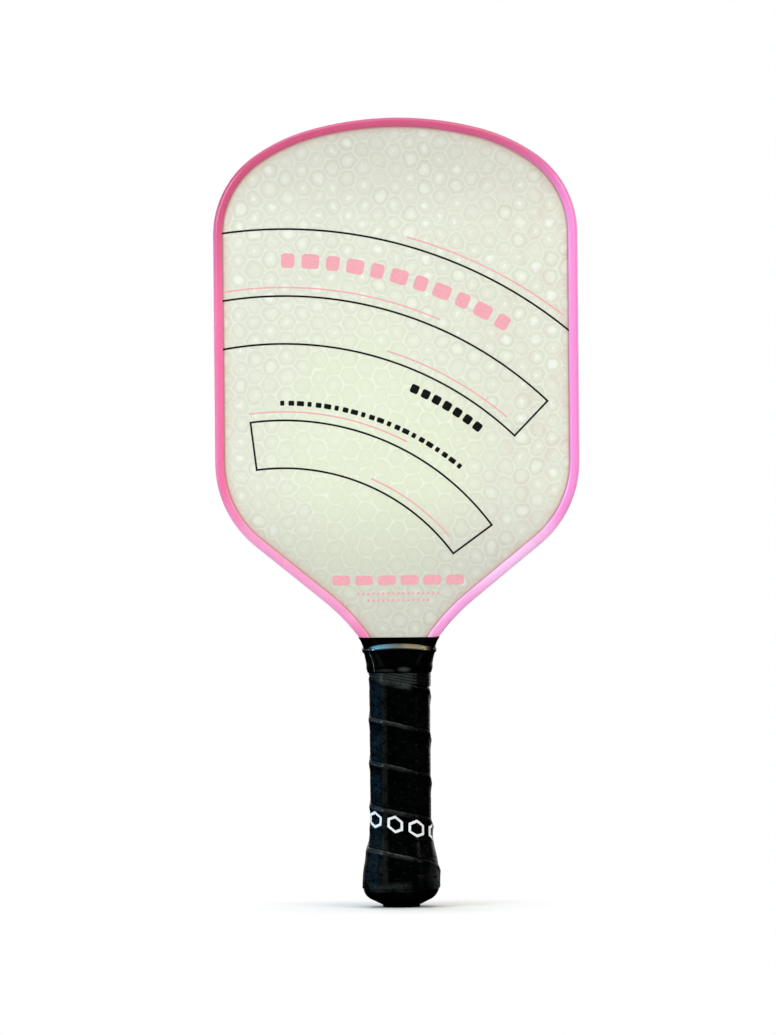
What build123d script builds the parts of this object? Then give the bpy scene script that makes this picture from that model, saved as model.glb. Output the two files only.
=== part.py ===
from build123d import *

# A polymer-core paddle: honeycomb panel, fibreglass faces, edge guard and wrapped handle.
#
# The paddle stands on its butt end. +Z runs up the handle to the tip of the head, X runs across the
# head, and the front face looks along -Y. The origin is the middle of the butt end. All sizes are in
# millimetres and all angles in degrees.

import os
from math import atan2, ceil, copysign, cos, dist, hypot, pi, radians, sin, sqrt

os.makedirs("parts", exist_ok=True)

# ---- Overall ----
PADDLE_LENGTH = 412.75
HEAD_WIDTH = 190.5

# ---- Outline of the edge guard's outer face, from the handle up to the tip ----
# A turn is how far the outline's direction swings along one arc.
NECK_START = 125.0  # height at which the tongue starts to widen
NECK_RADIUS = 17.0
NECK_TURN = 18.5
NECK_LINE = 7.8
THROAT_RADIUS = 10.9
WAIST_RADIUS = 106.0
WAIST_TURN = 14.6
HIP_RADIUS = 56.5
HIP_TURN = 50.8
CORNER_RADIUS = 50.6
SHOULDER_RADIUS = 94.4
SHOULDER_TURN = 19.8
CROWN_TURN = 14.8

# ---- Panel: honeycomb core, bond films and fibreglass faces ----
CORE_THICKNESS = 15.2
FILM_THICKNESS = 0.15
SKIN_THICKNESS = 0.5
CELL_PITCH = 9.4  # from one cell to the next, across the flats
CELL_WALL = 0.6

# ---- Edge guard, and the tape that bonds it to the panel's edge ----
GUARD_WEB = 1.5
GUARD_LIP = 4.8  # how far each lip reaches in over the face, web included
GUARD_LIP_EDGE = 0.7
GUARD_CROWN = 1.35  # the lip's greatest thickness
GUARD_ROUND = 2.6
GUARD_BULGE = 0.12  # how far the lip's top swells past a straight slope
GUARD_END = 133.0  # height at which the guard stops, inside the collar
EDGE_TAPE_THICKNESS = 0.4
EDGE_TAPE_WIDTH = 12.0
BOND_GAP = 0.05  # between parts that are glued or pressed together
LIP_GAP = 0.1  # from a face to the underside of a lip

# ---- Handle: the panel's tongue between two pallets ----
HANDLE_WIDTH = 27.8
HANDLE_DEPTH = 25.7
HANDLE_BEVEL = 5.8  # how much of the front each bevel takes
HANDLE_CORNER = 2.5
TONGUE_SET = 0.4  # the tongue's edges lie this far inside the handle's sides
PALLET_BOND = 0.15
PALLET_RAMP_START = 125.5
PALLET_TOP_THICKNESS = 1.0
PALLET_TOP_GAP = 0.3  # from the pallets' top end to the throat band

# ---- Butt cap and its staples ----
CAP_FLOOR = 4.6
CAP_END_WIDTH = 19.2
CAP_END_DEPTH = 16.8
CAP_END_BEVEL = 4.6
CAP_END_CORNER = 1.2
CAP_END_EDGE = 1.2  # height of the end's upright edge
CAP_CHAMFER_TOP = 4.6
CAP_FLANGE_TOP = 9.8
# The chamfer's top and the rounded flange above it: heights, and how far each stands out from the handle.
CAP_FLANGE = [(CAP_CHAMFER_TOP, 2.3), (6.0, 3.9), (7.4, 4.95), (8.7, 5.45), (CAP_FLANGE_TOP, 5.75)]
CAP_FLARE = 3.9  # how far the cap swells where it is widest
CAP_FLARE_START = 12.0  # height at which the swell starts to run out
CAP_RIM = 40.0
CAP_RIM_OUT = 0.6
CAP_GAP = 0.15
CAP_STEPS = 9  # straight steps in the flare's side
CAP_FADE_START = 1.5  # above the rim, the wrap comes down onto the handle between these heights
CAP_FADE_END = 6.5
STAPLE_WIRE = 0.8
STAPLE_CROWN = 7.0
STAPLE_HEIGHT = 29.0
STAPLE_BEND = 1.0
STAPLE_GAP = 0.1
STAPLE_TIP_GAP = 0.5  # from a leg's tip to the face of the tongue

# ---- Grip wrap: one strip wound up the handle as a left-handed helix ----
WRAP_THICK_TOP = 2.05  # the strip's upper edge stands proud
WRAP_THICK_BOTTOM = 1.6
WRAP_PITCH = 22.8
WRAP_SEAM_GAP = 0.5
WRAP_SEAM_HEIGHT = 102.0  # height of one seam on the handle's -X side
WRAP_TOP = 125.0
WRAP_SQUEEZE = 0.4  # the tape and collar press the wrap thinner by this much
WRAP_SQUEEZE_START = 110.0
WRAP_SQUEEZE_END = 116.5
WRAP_GAP = 0.12
WRAP_TIP = 1.2  # height of the strip's two cut tips
WRAP_SPANS = 6  # straight spans across the strip
CORNER_STATIONS = 4  # places where the strip is drawn on each corner of the handle

# ---- Finishing tape, throat band and collar ----
TAPE_THICKNESS = 0.25
TAPE_BOTTOM = 118.6
TAPE_TOP = 126.5
BAND_THICKNESS = 0.35
BAND_BOTTOM = 133.6
BAND_TOP = 141.1
BAND_STEPS = 5
BAND_OVERLAP = 0.5  # the band runs in past each lip by this much
BAND_SLOPE = 2.5  # and then comes down onto the face over this much
COLLAR_BOTTOM = 122.6
COLLAR_TOP = 138.0  # at the middle of each face
COLLAR_ARCH = 2.0  # the rim is lower by this much at the sides
COLLAR_THIN = 0.6
COLLAR_THICK = 0.95
COLLAR_GAP = 0.15
COLLAR_EASE = 1.05  # keeps a little of each bevel where the collar is flattest

# ---- Worked out from the sizes above ----
PANEL_HALF = CORE_THICKNESS / 2 + FILM_THICKNESS + SKIN_THICKNESS
LIP_UNDERSIDE = PANEL_HALF + LIP_GAP
GUARD_HALF = LIP_UNDERSIDE + GUARD_CROWN
PANEL_INSET = GUARD_WEB + EDGE_TAPE_THICKNESS + 2 * BOND_GAP
TONGUE_OUTER = HANDLE_WIDTH / 2 - TONGUE_SET + PANEL_INSET
TONGUE_END = CAP_FLOOR + CAP_GAP
PALLET_INNER = PANEL_HALF + PALLET_BOND
PALLET_TOP = BAND_BOTTOM - PALLET_TOP_GAP
BEVEL_DEPTH = HANDLE_DEPTH / 2 - PANEL_HALF
WRAP_OUT = WRAP_GAP + WRAP_THICK_TOP - WRAP_SQUEEZE + BOND_GAP  # the tape's inside, from the handle
FLANK_HEADING = HIP_TURN
WAIST_HEADING = HIP_TURN - WAIST_TURN
CORNER_TURN = 90 - SHOULDER_TURN - CROWN_TURN


# ---- Outline ----
class Stretch:
    """A straight or round stretch of the outline. A heading is measured from +Z towards +X."""

    def __init__(self, start, heading, length=0.0, radius=0.0, turn=0.0):
        self.start, self.heading, self.radius, self.turn = start, heading, radius, turn
        self.side = copysign(1, turn)
        if turn:
            across = self.side * radius
            angle = radians(heading)
            self.centre = (start[0] + across * cos(angle), start[1] - across * sin(angle))
            self.end = self.at(turn)
        else:
            angle = radians(heading)
            self.end = (start[0] + length * sin(angle), start[1] + length * cos(angle))

    def at(self, swept):
        angle = radians(self.heading + swept)
        across = self.side * self.radius
        return (self.centre[0] - across * cos(angle), self.centre[1] + across * sin(angle))

    def x_at(self, z):
        if self.turn:
            return self.centre[0] - self.side * sqrt(self.radius**2 - (z - self.centre[1]) ** 2)
        share = (z - self.start[1]) / (self.end[1] - self.start[1])
        return self.start[0] + share * (self.end[0] - self.start[0])

    def edge(self, y):
        first, last = (self.start[0], y, self.start[1]), (self.end[0], y, self.end[1])
        if not self.turn:
            return Edge.make_line(first, last)
        middle = self.at(self.turn / 2)
        return Edge.make_three_point_arc(first, (middle[0], y, middle[1]), last)


def crown_radius():
    """The radius at the tip that makes the three upper arcs span half the head."""
    low, high = radians(CROWN_TURN), radians(CROWN_TURN + SHOULDER_TURN)
    rest = SHOULDER_RADIUS * (sin(high) - sin(low)) + CORNER_RADIUS * (1 - sin(high))
    return (HEAD_WIDTH / 2 - rest) / sin(low)


def flank_length():
    """The length of the straight flank that makes the lower curves reach the head's full width."""
    neck, waist, hip = radians(NECK_TURN), radians(WAIST_HEADING), radians(HIP_TURN)
    reach = TONGUE_OUTER + NECK_RADIUS * (1 - cos(neck)) + NECK_LINE * sin(neck)
    reach += THROAT_RADIUS * (cos(neck) - cos(waist)) + WAIST_RADIUS * (cos(waist) - cos(hip))
    return (HEAD_WIDTH / 2 - reach - HIP_RADIUS * (1 - cos(hip))) / sin(hip)


def half_outline(inset):
    """The outline's right half, from the end of the tongue to the tip, moved inwards by inset."""
    run = [Stretch((TONGUE_OUTER - inset, TONGUE_END), 0, NECK_START - TONGUE_END)]

    def add(heading, length=0.0, radius=0.0, turn=0.0):
        run.append(Stretch(run[-1].end, heading, length, radius, turn))

    add(0, radius=NECK_RADIUS + inset, turn=NECK_TURN)
    add(NECK_TURN, NECK_LINE)
    add(NECK_TURN, radius=THROAT_RADIUS + inset, turn=WAIST_HEADING - NECK_TURN)
    add(WAIST_HEADING, radius=WAIST_RADIUS + inset, turn=WAIST_TURN)
    add(FLANK_HEADING, flank_length())
    add(FLANK_HEADING, radius=HIP_RADIUS - inset, turn=-HIP_TURN)
    add(0, side_length())
    add(0, radius=CORNER_RADIUS - inset, turn=-CORNER_TURN)
    add(-CORNER_TURN, radius=SHOULDER_RADIUS - inset, turn=-SHOULDER_TURN)
    add(CROWN_TURN - 90, radius=crown_radius() - inset, turn=-CROWN_TURN)
    return run


def side_length():
    """The length of the head's straight side that brings the tip to the paddle's full length."""
    neck, waist, hip = radians(NECK_TURN), radians(WAIST_HEADING), radians(HIP_TURN)
    corner, shoulder = radians(CORNER_TURN), radians(90 - CROWN_TURN)
    rise = NECK_START + NECK_RADIUS * sin(neck) + NECK_LINE * cos(neck)
    rise += THROAT_RADIUS * (sin(waist) - sin(neck)) + WAIST_RADIUS * (sin(hip) - sin(waist))
    rise += flank_length() * cos(hip) + HIP_RADIUS * sin(hip) + CORNER_RADIUS * sin(corner)
    rise += SHOULDER_RADIUS * (sin(shoulder) - sin(corner)) + crown_radius() * (1 - sin(shoulder))
    return PADDLE_LENGTH - rise


def half_width(z, inset):
    """Half the outline's width at a height on the handle, neck or throat."""
    for stretch in half_outline(inset):
        if z <= stretch.end[1]:
            return stretch.x_at(z)


def both_sides(run, y):
    """The edges of the outline's right half and of its mirror image, from foot to foot."""
    right = [stretch.edge(y) for stretch in run]
    return right + [edge.mirror(Plane.YZ) for edge in reversed(right)]


def outline_face(inset, y):
    run = half_outline(inset)
    foot = run[0].start
    closing = Edge.make_line((-foot[0], y, foot[1]), (foot[0], y, foot[1]))
    return Face(Wire(both_sides(run, y) + [closing]))


def guard_run(inset):
    """The outline above the guard's two ends, which lie on the neck's straight stretches."""
    run = half_outline(inset)[2:]
    neck = run[0]
    foot = (neck.x_at(GUARD_END), GUARD_END)
    run[0] = Stretch(foot, NECK_TURN, dist(foot, neck.end))
    return run


def raised(face, thickness):
    return Solid.extrude(face, Vector(0, thickness, 0))


# ---- Cross-section of the handle: an octagon with rounded corners ----
class Corner:
    """One rounded corner: its signs, its insets from the octagon's box, and the normals it turns through."""

    def __init__(self, signs, insets, start, end):
        self.signs, self.insets, self.start, self.end = signs, insets, start, end

    def point(self, halves, radius, angle, out):
        lean = (self.start + self.end) / 2
        back = radius / cos((self.end - self.start) / 2)
        x = self.signs[0] * (halves[0] - self.insets[0]) - back * cos(lean) + (radius + out) * cos(angle)
        y = self.signs[1] * (halves[1] - self.insets[1]) - back * sin(lean) + (radius + out) * sin(angle)
        return x, y


def octagon_corners(bevel_x, bevel_y):
    """The eight corners, anticlockwise from the first one past the +X side."""
    lean = atan2(bevel_x, bevel_y)
    corners = []
    for turn, signs in enumerate([(1, 1), (-1, 1), (-1, -1), (1, -1)]):
        base = turn * pi / 2
        insets = [(0, bevel_y), (bevel_x, 0)]
        bend = lean
        if turn % 2:
            insets.reverse()
            bend = pi / 2 - lean
        corners.append(Corner(signs, insets[0], base, base + bend))
        corners.append(Corner(signs, insets[1], base + bend, base + pi / 2))
    return corners


HANDLE_CORNERS = octagon_corners(HANDLE_BEVEL, BEVEL_DEPTH)


def octagon(halves, z, out=0.0, corners=HANDLE_CORNERS, radius=HANDLE_CORNER):
    """A rounded octagon at a height, moved outwards by out."""
    edges, first, last = [], None, None
    for corner in corners:
        angles = (corner.start, (corner.start + corner.end) / 2, corner.end)
        points = [(*corner.point(halves, radius, angle, out), z) for angle in angles]
        if last:
            edges.append(Edge.make_line(last, points[0]))
        edges.append(Edge.make_three_point_arc(*points))
        first, last = first or points[0], points[-1]
    edges.append(Edge.make_line(last, first))
    return Wire(edges)


def stacked(sections):
    """A solid whose walls run straight from each section to the next."""
    return Solid.make_loft(sections, ruled=True)


HANDLE_HALVES = (HANDLE_WIDTH / 2, HANDLE_DEPTH / 2)


def sleeve(low, high, inner, outer):
    """A straight sleeve around the handle."""
    body = stacked([octagon(HANDLE_HALVES, low, outer), octagon(HANDLE_HALVES, high, outer)])
    return body - stacked([octagon(HANDLE_HALVES, low - 1, inner), octagon(HANDLE_HALVES, high + 1, inner)])


# ---- Panel ----
def hexagon(x, z, y):
    reach = (CELL_PITCH - CELL_WALL) / 2 / cos(radians(30))
    points = [(x + reach * cos(radians(60 * k)), y, z + reach * sin(radians(60 * k))) for k in range(6)]
    return Wire([Edge.make_line(points[k - 1], points[k]) for k in range(6)])


def cell_centres():
    """The cells' centres, in columns that run up the paddle, one of them on its centre line."""
    column = CELL_PITCH * cos(radians(30))
    reach = ceil(HEAD_WIDTH / 2 / column) + 1
    for i in range(-reach, reach + 1):
        for j in range(ceil(PADDLE_LENGTH / CELL_PITCH) + 1):
            yield i * column, (j + (i % 2) / 2) * CELL_PITCH


def depth_inside(x, z, rim):
    """How far a point lies inside the points of a closed rim. Outside, it is negative."""
    inside = False
    previous = rim[-1]
    for point in rim:
        if (point[1] > z) != (previous[1] > z):
            share = (z - previous[1]) / (point[1] - previous[1])
            inside = inside != (x < previous[0] + share * (point[0] - previous[0]))
        previous = point
    nearest = min(hypot(x - point[0], z - point[1]) for point in rim)
    return nearest if inside else -nearest


def honeycomb_core():
    """The core. Whole cells are holes, and cells that the panel's edge crosses are left open there."""
    y = -CORE_THICKNESS / 2
    panel = outline_face(PANEL_INSET, y)
    edge = panel.outer_wire()
    steps = ceil(edge.length / 2)
    rim = [(p.X, p.Z) for p in (edge.position_at(k / steps) for k in range(steps))]
    margin = CELL_PITCH / 2 / cos(radians(30)) + 1
    whole, crossed = [], []
    for x, z in cell_centres():
        depth = depth_inside(x, z, rim)
        if depth > margin:
            whole.append(hexagon(x, z, y))
        elif depth > -margin:
            crossed.append(Face(hexagon(x, z, y)))
    web = max(panel.cut(*crossed).faces(), key=lambda face: face.area)
    return raised(Face(web.outer_wire(), whole + list(web.inner_wires())), CORE_THICKNESS)


def panel_sheet(side, inner, thickness):
    """A flat sheet over the whole panel, on the front (-1) or rear (1), with its inner face at inner."""
    return raised(outline_face(PANEL_INSET, inner if side > 0 else -inner - thickness), thickness)


# ---- Edge guard ----
def guard_profile(plane):
    """The guard's channel section. The plane's X points out of the head, and its Y across the guard."""
    edges = []
    for side in (1, -1):
        top, slim = side * GUARD_HALF, side * (LIP_UNDERSIDE + GUARD_LIP_EDGE)
        under, nose = side * LIP_UNDERSIDE, side * GUARD_LIP_EDGE / 2
        rim_end = (-GUARD_LIP + GUARD_LIP_EDGE / 2, slim)
        rim_middle = (rim_end[0] - GUARD_LIP_EDGE / 2 * sqrt(0.5), slim - nose * (1 - sqrt(0.5)))
        peak = (-GUARD_ROUND, top)
        swell = ((rim_end[0] + peak[0]) / 2, (slim + top) / 2 + side * GUARD_BULGE)
        round_middle = (-GUARD_ROUND * (1 - sqrt(0.5)), top - side * GUARD_ROUND * (1 - sqrt(0.5)))
        edges += [
            Edge.make_line((-GUARD_WEB, under), (-GUARD_LIP, under)),
            Edge.make_line((-GUARD_LIP, under), (-GUARD_LIP, slim - nose)),
            Edge.make_three_point_arc((-GUARD_LIP, slim - nose), rim_middle, rim_end),
            Edge.make_three_point_arc(rim_end, swell, peak),
            Edge.make_three_point_arc(peak, round_middle, (0, top - side * GUARD_ROUND)),
        ]
    edges.append(Edge.make_line((0, GUARD_HALF - GUARD_ROUND), (0, GUARD_ROUND - GUARD_HALF)))
    edges.append(Edge.make_line((-GUARD_WEB, LIP_UNDERSIDE), (-GUARD_WEB, -LIP_UNDERSIDE)))
    return Face(plane.from_local_coords(Wire(edges)))


def edge_guard():
    path = Wire(both_sides(guard_run(0), 0))
    start, along = path.position_at(0), path.tangent_at(0)
    outwards = Vector(along.Z, 0, -along.X) * copysign(1, start.X * along.Z)
    return Solid.sweep(guard_profile(Plane(start, x_dir=outwards, z_dir=along)), path)


def edge_bond_tape():
    """The tape between the guard's web and the panel's edge."""
    y = -EDGE_TAPE_WIDTH / 2
    outer, inner = guard_run(GUARD_WEB + BOND_GAP), guard_run(GUARD_WEB + BOND_GAP + EDGE_TAPE_THICKNESS)
    edges = both_sides(outer, y) + both_sides(inner, y)
    for side in (1, -1):
        ends = [(side * run[0].start[0], y, run[0].start[1]) for run in (outer, inner)]
        edges.append(Edge.make_line(*ends))
    return raised(Face(Wire(edges)), EDGE_TAPE_WIDTH)


# ---- Handle pallets ----
def pallet_layer(side, inner, outside):
    """What lies between the distance inner from the middle and the outside, on the front or the rear."""
    corner = Plane((-HANDLE_WIDTH, inner, 0))
    block = Solid.make_box(2 * HANDLE_WIDTH, HANDLE_DEPTH, PADDLE_LENGTH, corner)
    if side < 0:
        block = block.mirror(Plane.XZ)
    return (outside & block).solids()[0]


def handle_pallet(side):
    """A pallet on one face of the tongue. Its top end is ramped down under the collar."""
    top = (HANDLE_WIDTH / 2, PALLET_INNER + PALLET_TOP_THICKNESS)
    rows = [(HANDLE_HALVES, TONGUE_END), (HANDLE_HALVES, PALLET_RAMP_START), (top, PALLET_TOP)]
    body = stacked([octagon(halves, z) for halves, z in rows])
    return pallet_layer(side, PALLET_INNER, body).cut(staple_cut(side))


def pallet_bond(side):
    """The glue film between a pallet and the face of the tongue."""
    width = HANDLE_WIDTH - 2 * HANDLE_CORNER
    start = PANEL_HALF if side > 0 else -PALLET_INNER
    height = PALLET_RAMP_START - TONGUE_END
    return Solid.make_box(width, PALLET_BOND, height, Plane((-width / 2, start, TONGUE_END)))


# ---- Butt cap ----
def cap_out(z):
    """How far the cap's outside, under the wrap, stands out from the handle."""
    share = max(0.0, (z - CAP_FLARE_START) / (CAP_RIM - CAP_FLARE_START))
    return CAP_RIM_OUT + CAP_FLARE * (1 - min(1.0, share) ** 2) ** 2


def seat_out(z):
    """How far whatever the wrap lies on stands out from the handle."""
    fade = (z - CAP_RIM - CAP_FADE_START) / (CAP_FADE_END - CAP_FADE_START)
    return cap_out(z) - CAP_RIM_OUT * min(1.0, max(0.0, fade))


def butt_cap():
    """A hollow cap with a chamfered flange, and above it the flared seat of the wrap."""
    end = (CAP_END_WIDTH / 2, CAP_END_DEPTH / 2)
    end_corners = octagon_corners(CAP_END_BEVEL, CAP_END_BEVEL)
    sections = [octagon(end, z, 0, end_corners, CAP_END_CORNER) for z in (0, CAP_END_EDGE)]
    flange = stacked(sections + [octagon(HANDLE_HALVES, z, out) for z, out in CAP_FLANGE])
    heights = [CAP_FLANGE_TOP]
    heights += [CAP_FLARE_START + (CAP_RIM - CAP_FLARE_START) * k / CAP_STEPS for k in range(CAP_STEPS + 1)]
    seat = stacked([octagon(HANDLE_HALVES, z, cap_out(z)) for z in heights])
    hollow = stacked([octagon(HANDLE_HALVES, z, CAP_GAP) for z in (CAP_FLOOR, CAP_RIM + 1)])
    return flange.fuse(seat).cut(hollow, staple_cut(-1), staple_cut(1)).solids()[0]


# ---- Staples through the cap into the pallets ----
def staple_crown_y(side):
    """The line of a staple's crown, sunk flush into the cap."""
    return side * (HANDLE_DEPTH / 2 + cap_out(STAPLE_HEIGHT) - STAPLE_WIRE)


def staple(side, grow=0.0, deeper=0.0):
    crown_y, tip_y = staple_crown_y(side), side * (PALLET_INNER + STAPLE_TIP_GAP - deeper)
    half = STAPLE_CROWN / 2
    corners = [(-half, tip_y), (-half, crown_y), (half, crown_y), (half, tip_y)]
    path = Wire(FilletPolyline(*[(x, y, STAPLE_HEIGHT) for x, y in corners], radius=STAPLE_BEND).edges())
    start = Plane(path.position_at(0), z_dir=path.tangent_at(0))
    return Solid.sweep(Face(Wire.make_circle(STAPLE_WIRE / 2 + grow, start)), path)


def staple_cut(side):
    """The holes for a staple's legs, and the slot that its crown is pressed into."""
    width, height = STAPLE_CROWN + STAPLE_WIRE + 2 * STAPLE_GAP, STAPLE_WIRE + 2 * STAPLE_GAP
    crown_y, depth = staple_crown_y(side), HANDLE_DEPTH
    corner = (-width / 2, min(crown_y, crown_y + side * depth), STAPLE_HEIGHT - height / 2)
    slot = Solid.make_box(width, depth, height, Plane(corner))
    return staple(side, STAPLE_GAP, STAPLE_GAP).fuse(slot)


# ---- Grip wrap ----
def wrap_stations():
    """Where the strip is drawn around the handle: each place's corner, normal and share of one turn."""
    places, travelled, last = [], 0.0, None
    for corner in HANDLE_CORNERS:
        for k in range(CORNER_STATIONS):
            angle = corner.start + (corner.end - corner.start) * k / (CORNER_STATIONS - 1)
            point = corner.point(HANDLE_HALVES, HANDLE_CORNER, angle, WRAP_THICK_BOTTOM)
            travelled += dist(point, last) if last else point[1]
            places.append((corner, angle, travelled))
            last = point
    around = travelled - last[1]
    return [(corner, angle, along / around) for corner, angle, along in places]


def wrap_thickness(z, seam):
    """The strip's thickness at a height, on the turn whose lower edge is at the height seam."""
    share = (z - seam) / (WRAP_PITCH - WRAP_SEAM_GAP)
    pressed = (z - WRAP_SQUEEZE_START) / (WRAP_SQUEEZE_END - WRAP_SQUEEZE_START)
    thick = WRAP_THICK_BOTTOM + (WRAP_THICK_TOP - WRAP_THICK_BOTTOM) * share
    return thick - WRAP_SQUEEZE * min(1.0, max(0.0, pressed))


def wrap_section(corner, angle, low, high, seam):
    """The strip's section at one station: up its inside, and back down its outside."""
    inside, outside = [], []
    for k in range(WRAP_SPANS + 1):
        z = low + (high - low) * k / WRAP_SPANS
        thick = wrap_thickness(z, seam)
        out = seat_out(z) + WRAP_GAP
        inside.append((*corner.point(HANDLE_HALVES, HANDLE_CORNER, angle, out), z))
        outside.append((*corner.point(HANDLE_HALVES, HANDLE_CORNER, angle, out + thick), z))
    return inside + outside[::-1]


def wrap_sections():
    """The strip's sections from the butt up. As it climbs, it runs clockwise seen from above."""
    bottom = CAP_FLANGE_TOP + WRAP_GAP
    stations = wrap_stations()
    first_seam = WRAP_SEAM_HEIGHT + WRAP_PITCH / 2
    sections = []
    for turn in range(ceil((first_seam - bottom) / WRAP_PITCH) + 1, -2, -1):
        for corner, angle, share in reversed(stations):
            seam = first_seam - (turn + share) * WRAP_PITCH
            low, high = max(bottom, seam), min(WRAP_TOP, seam + WRAP_PITCH - WRAP_SEAM_GAP)
            if high - low >= WRAP_TIP:
                sections.append(wrap_section(corner, angle, low, high, seam))
    return sections


def polygon(points):
    return Wire([Edge.make_line(points[k - 1], points[k]) for k in range(len(points))])


def grip_wrap():
    sections = wrap_sections()
    stations = len(wrap_stations())
    turns = zip(sections, sections[stations:])
    gap = min(dist(a, b) for below, above in turns for a in below for b in above)
    print(f"grip wrap: {len(sections) / stations:.2f} turns, least gap to itself {gap:.2f} mm")
    return stacked([polygon(section) for section in sections])


# ---- Throat band and collar ----
def band_section(z, out):
    """The band's section: round the guard's two sides, over their lips and down onto each face."""
    lip, side = half_width(z, GUARD_LIP), half_width(z, -out)
    high, face, radius = GUARD_HALF + out, PANEL_HALF + out, GUARD_ROUND + out
    slope_top, slope_foot = lip - BAND_OVERLAP, lip - BAND_OVERLAP - BAND_SLOPE
    diagonal = radius * (1 - sqrt(0.5))
    edges = []
    for x_side, y_side in ((1, 1), (-1, 1), (-1, -1), (1, -1)):

        def place(x, y):
            return (x_side * x, y_side * y, z)

        middle = place(side - diagonal, high - diagonal)
        low, top = place(side, high - radius), place(side - radius, high)
        quarter = [
            Edge.make_line(place(side, 0), low),
            Edge.make_three_point_arc(low, middle, top),
            Edge.make_line(top, place(slope_top, high)),
            Edge.make_line(place(slope_top, high), place(slope_foot, face)),
            Edge.make_line(place(slope_foot, face), place(0, face)),
        ]
        edges += quarter if x_side == y_side else quarter[::-1]
    return Wire(edges)


def throat_band():
    heights = [BAND_BOTTOM + (BAND_TOP - BAND_BOTTOM) * k / BAND_STEPS for k in range(BAND_STEPS + 1)]
    body = stacked([band_section(z, BOND_GAP + BAND_THICKNESS) for z in heights])
    longer = [BAND_BOTTOM - 1] + heights + [BAND_TOP + 1]
    return body - stacked([band_section(z, BOND_GAP) for z in longer])


def collar_section(z, out):
    """The collar's bore, grown by out. Above the tape it turns from the octagon to the flatter neck."""
    share = max(0.0, (z - TAPE_TOP) / (COLLAR_TOP - TAPE_TOP))
    low_out = WRAP_OUT + TAPE_THICKNESS + COLLAR_GAP
    high_out = BOND_GAP + BAND_THICKNESS + COLLAR_GAP
    high = (half_width(COLLAR_TOP, -high_out), GUARD_HALF + high_out)
    low = (HANDLE_WIDTH / 2 + low_out, HANDLE_DEPTH / 2 + low_out)
    radius = HANDLE_CORNER + low_out + (GUARD_ROUND - HANDLE_CORNER + high_out - low_out) * share
    snug = 2 - sqrt(2)
    spread = snug * low_out
    least = COLLAR_EASE * snug * radius
    bevel_x = (HANDLE_BEVEL + spread) * (1 - share) + least * share
    bevel_y = (BEVEL_DEPTH + spread) * (1 - share) + least * share
    halves = [a + (b - a) * share for a, b in zip(low, high)]
    return octagon(halves, z, out, octagon_corners(bevel_x, bevel_y), radius)


def grip_collar():
    """An elastic sleeve over the throat. Its rim is arched across each face."""
    rows = [(COLLAR_BOTTOM, COLLAR_THIN), (TAPE_TOP, COLLAR_THICK), (COLLAR_TOP, COLLAR_THICK)]
    outside = stacked([collar_section(z, thickness) for z, thickness in rows])
    bore = stacked([collar_section(z, 0) for z in (COLLAR_BOTTOM - 1, TAPE_TOP, COLLAR_TOP + 1)])
    half = half_width(COLLAR_TOP, -COLLAR_THICK - COLLAR_GAP)
    depth, side = HEAD_WIDTH, COLLAR_TOP - COLLAR_ARCH
    rim = [(-half, -depth, side), (0, -depth, COLLAR_TOP), (half, -depth, side)]
    low_left, low_right = (-half, -depth, 0), (half, -depth, 0)
    shield = Face(Wire([
        Edge.make_three_point_arc(*rim),
        Edge.make_line(rim[2], low_right),
        Edge.make_line(low_right, low_left),
        Edge.make_line(low_left, rim[0]),
    ]))
    return ((outside - bore) & raised(shield, 2 * depth)).solids()[0]


# ---- Write one file for each piece ----
FILM_INNER = CORE_THICKNESS / 2
SKIN_INNER = FILM_INNER + FILM_THICKNESS

pieces = {
    "honeycomb_core": honeycomb_core(),
    "front_bond_film": panel_sheet(-1, FILM_INNER, FILM_THICKNESS),
    "rear_bond_film": panel_sheet(1, FILM_INNER, FILM_THICKNESS),
    "front_face_skin": panel_sheet(-1, SKIN_INNER, SKIN_THICKNESS),
    "rear_face_skin": panel_sheet(1, SKIN_INNER, SKIN_THICKNESS),
    "edge_guard": edge_guard(),
    "edge_bond_tape": edge_bond_tape(),
    "front_pallet_bond": pallet_bond(-1),
    "rear_pallet_bond": pallet_bond(1),
    "front_handle_pallet": handle_pallet(-1),
    "rear_handle_pallet": handle_pallet(1),
    "butt_cap": butt_cap(),
    "butt_cap_staples": Compound([staple(-1), staple(1)]),
    "grip_wrap": grip_wrap(),
    "finishing_tape": sleeve(TAPE_BOTTOM, TAPE_TOP, WRAP_OUT, WRAP_OUT + TAPE_THICKNESS),
    "throat_band": throat_band(),
    "grip_collar": grip_collar(),
}
for name, piece in pieces.items():
    export_step(piece, f"parts/{name}.step")
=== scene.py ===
# %% [markdown]
# # Dressing a paddle
#
# The solids of a polymer-core paddle are packed and fixed: a honeycomb panel with a fibreglass face on
# each side, a guard round its edge, and an octagonal handle in a spiral wrap. This notebook gives them
# their finish. It loads the solids, models again the pieces whose surface has detail that a solid
# doesn't carry, and mixes every material from nodes. Lengths are in metres, as the solids are.

# %% Load the packed solids
from math import atan2, ceil, copysign, cos, pi, radians, sin, sqrt

import bmesh
import bpy
from mathutils import Euler, Matrix, Vector, noise


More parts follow.
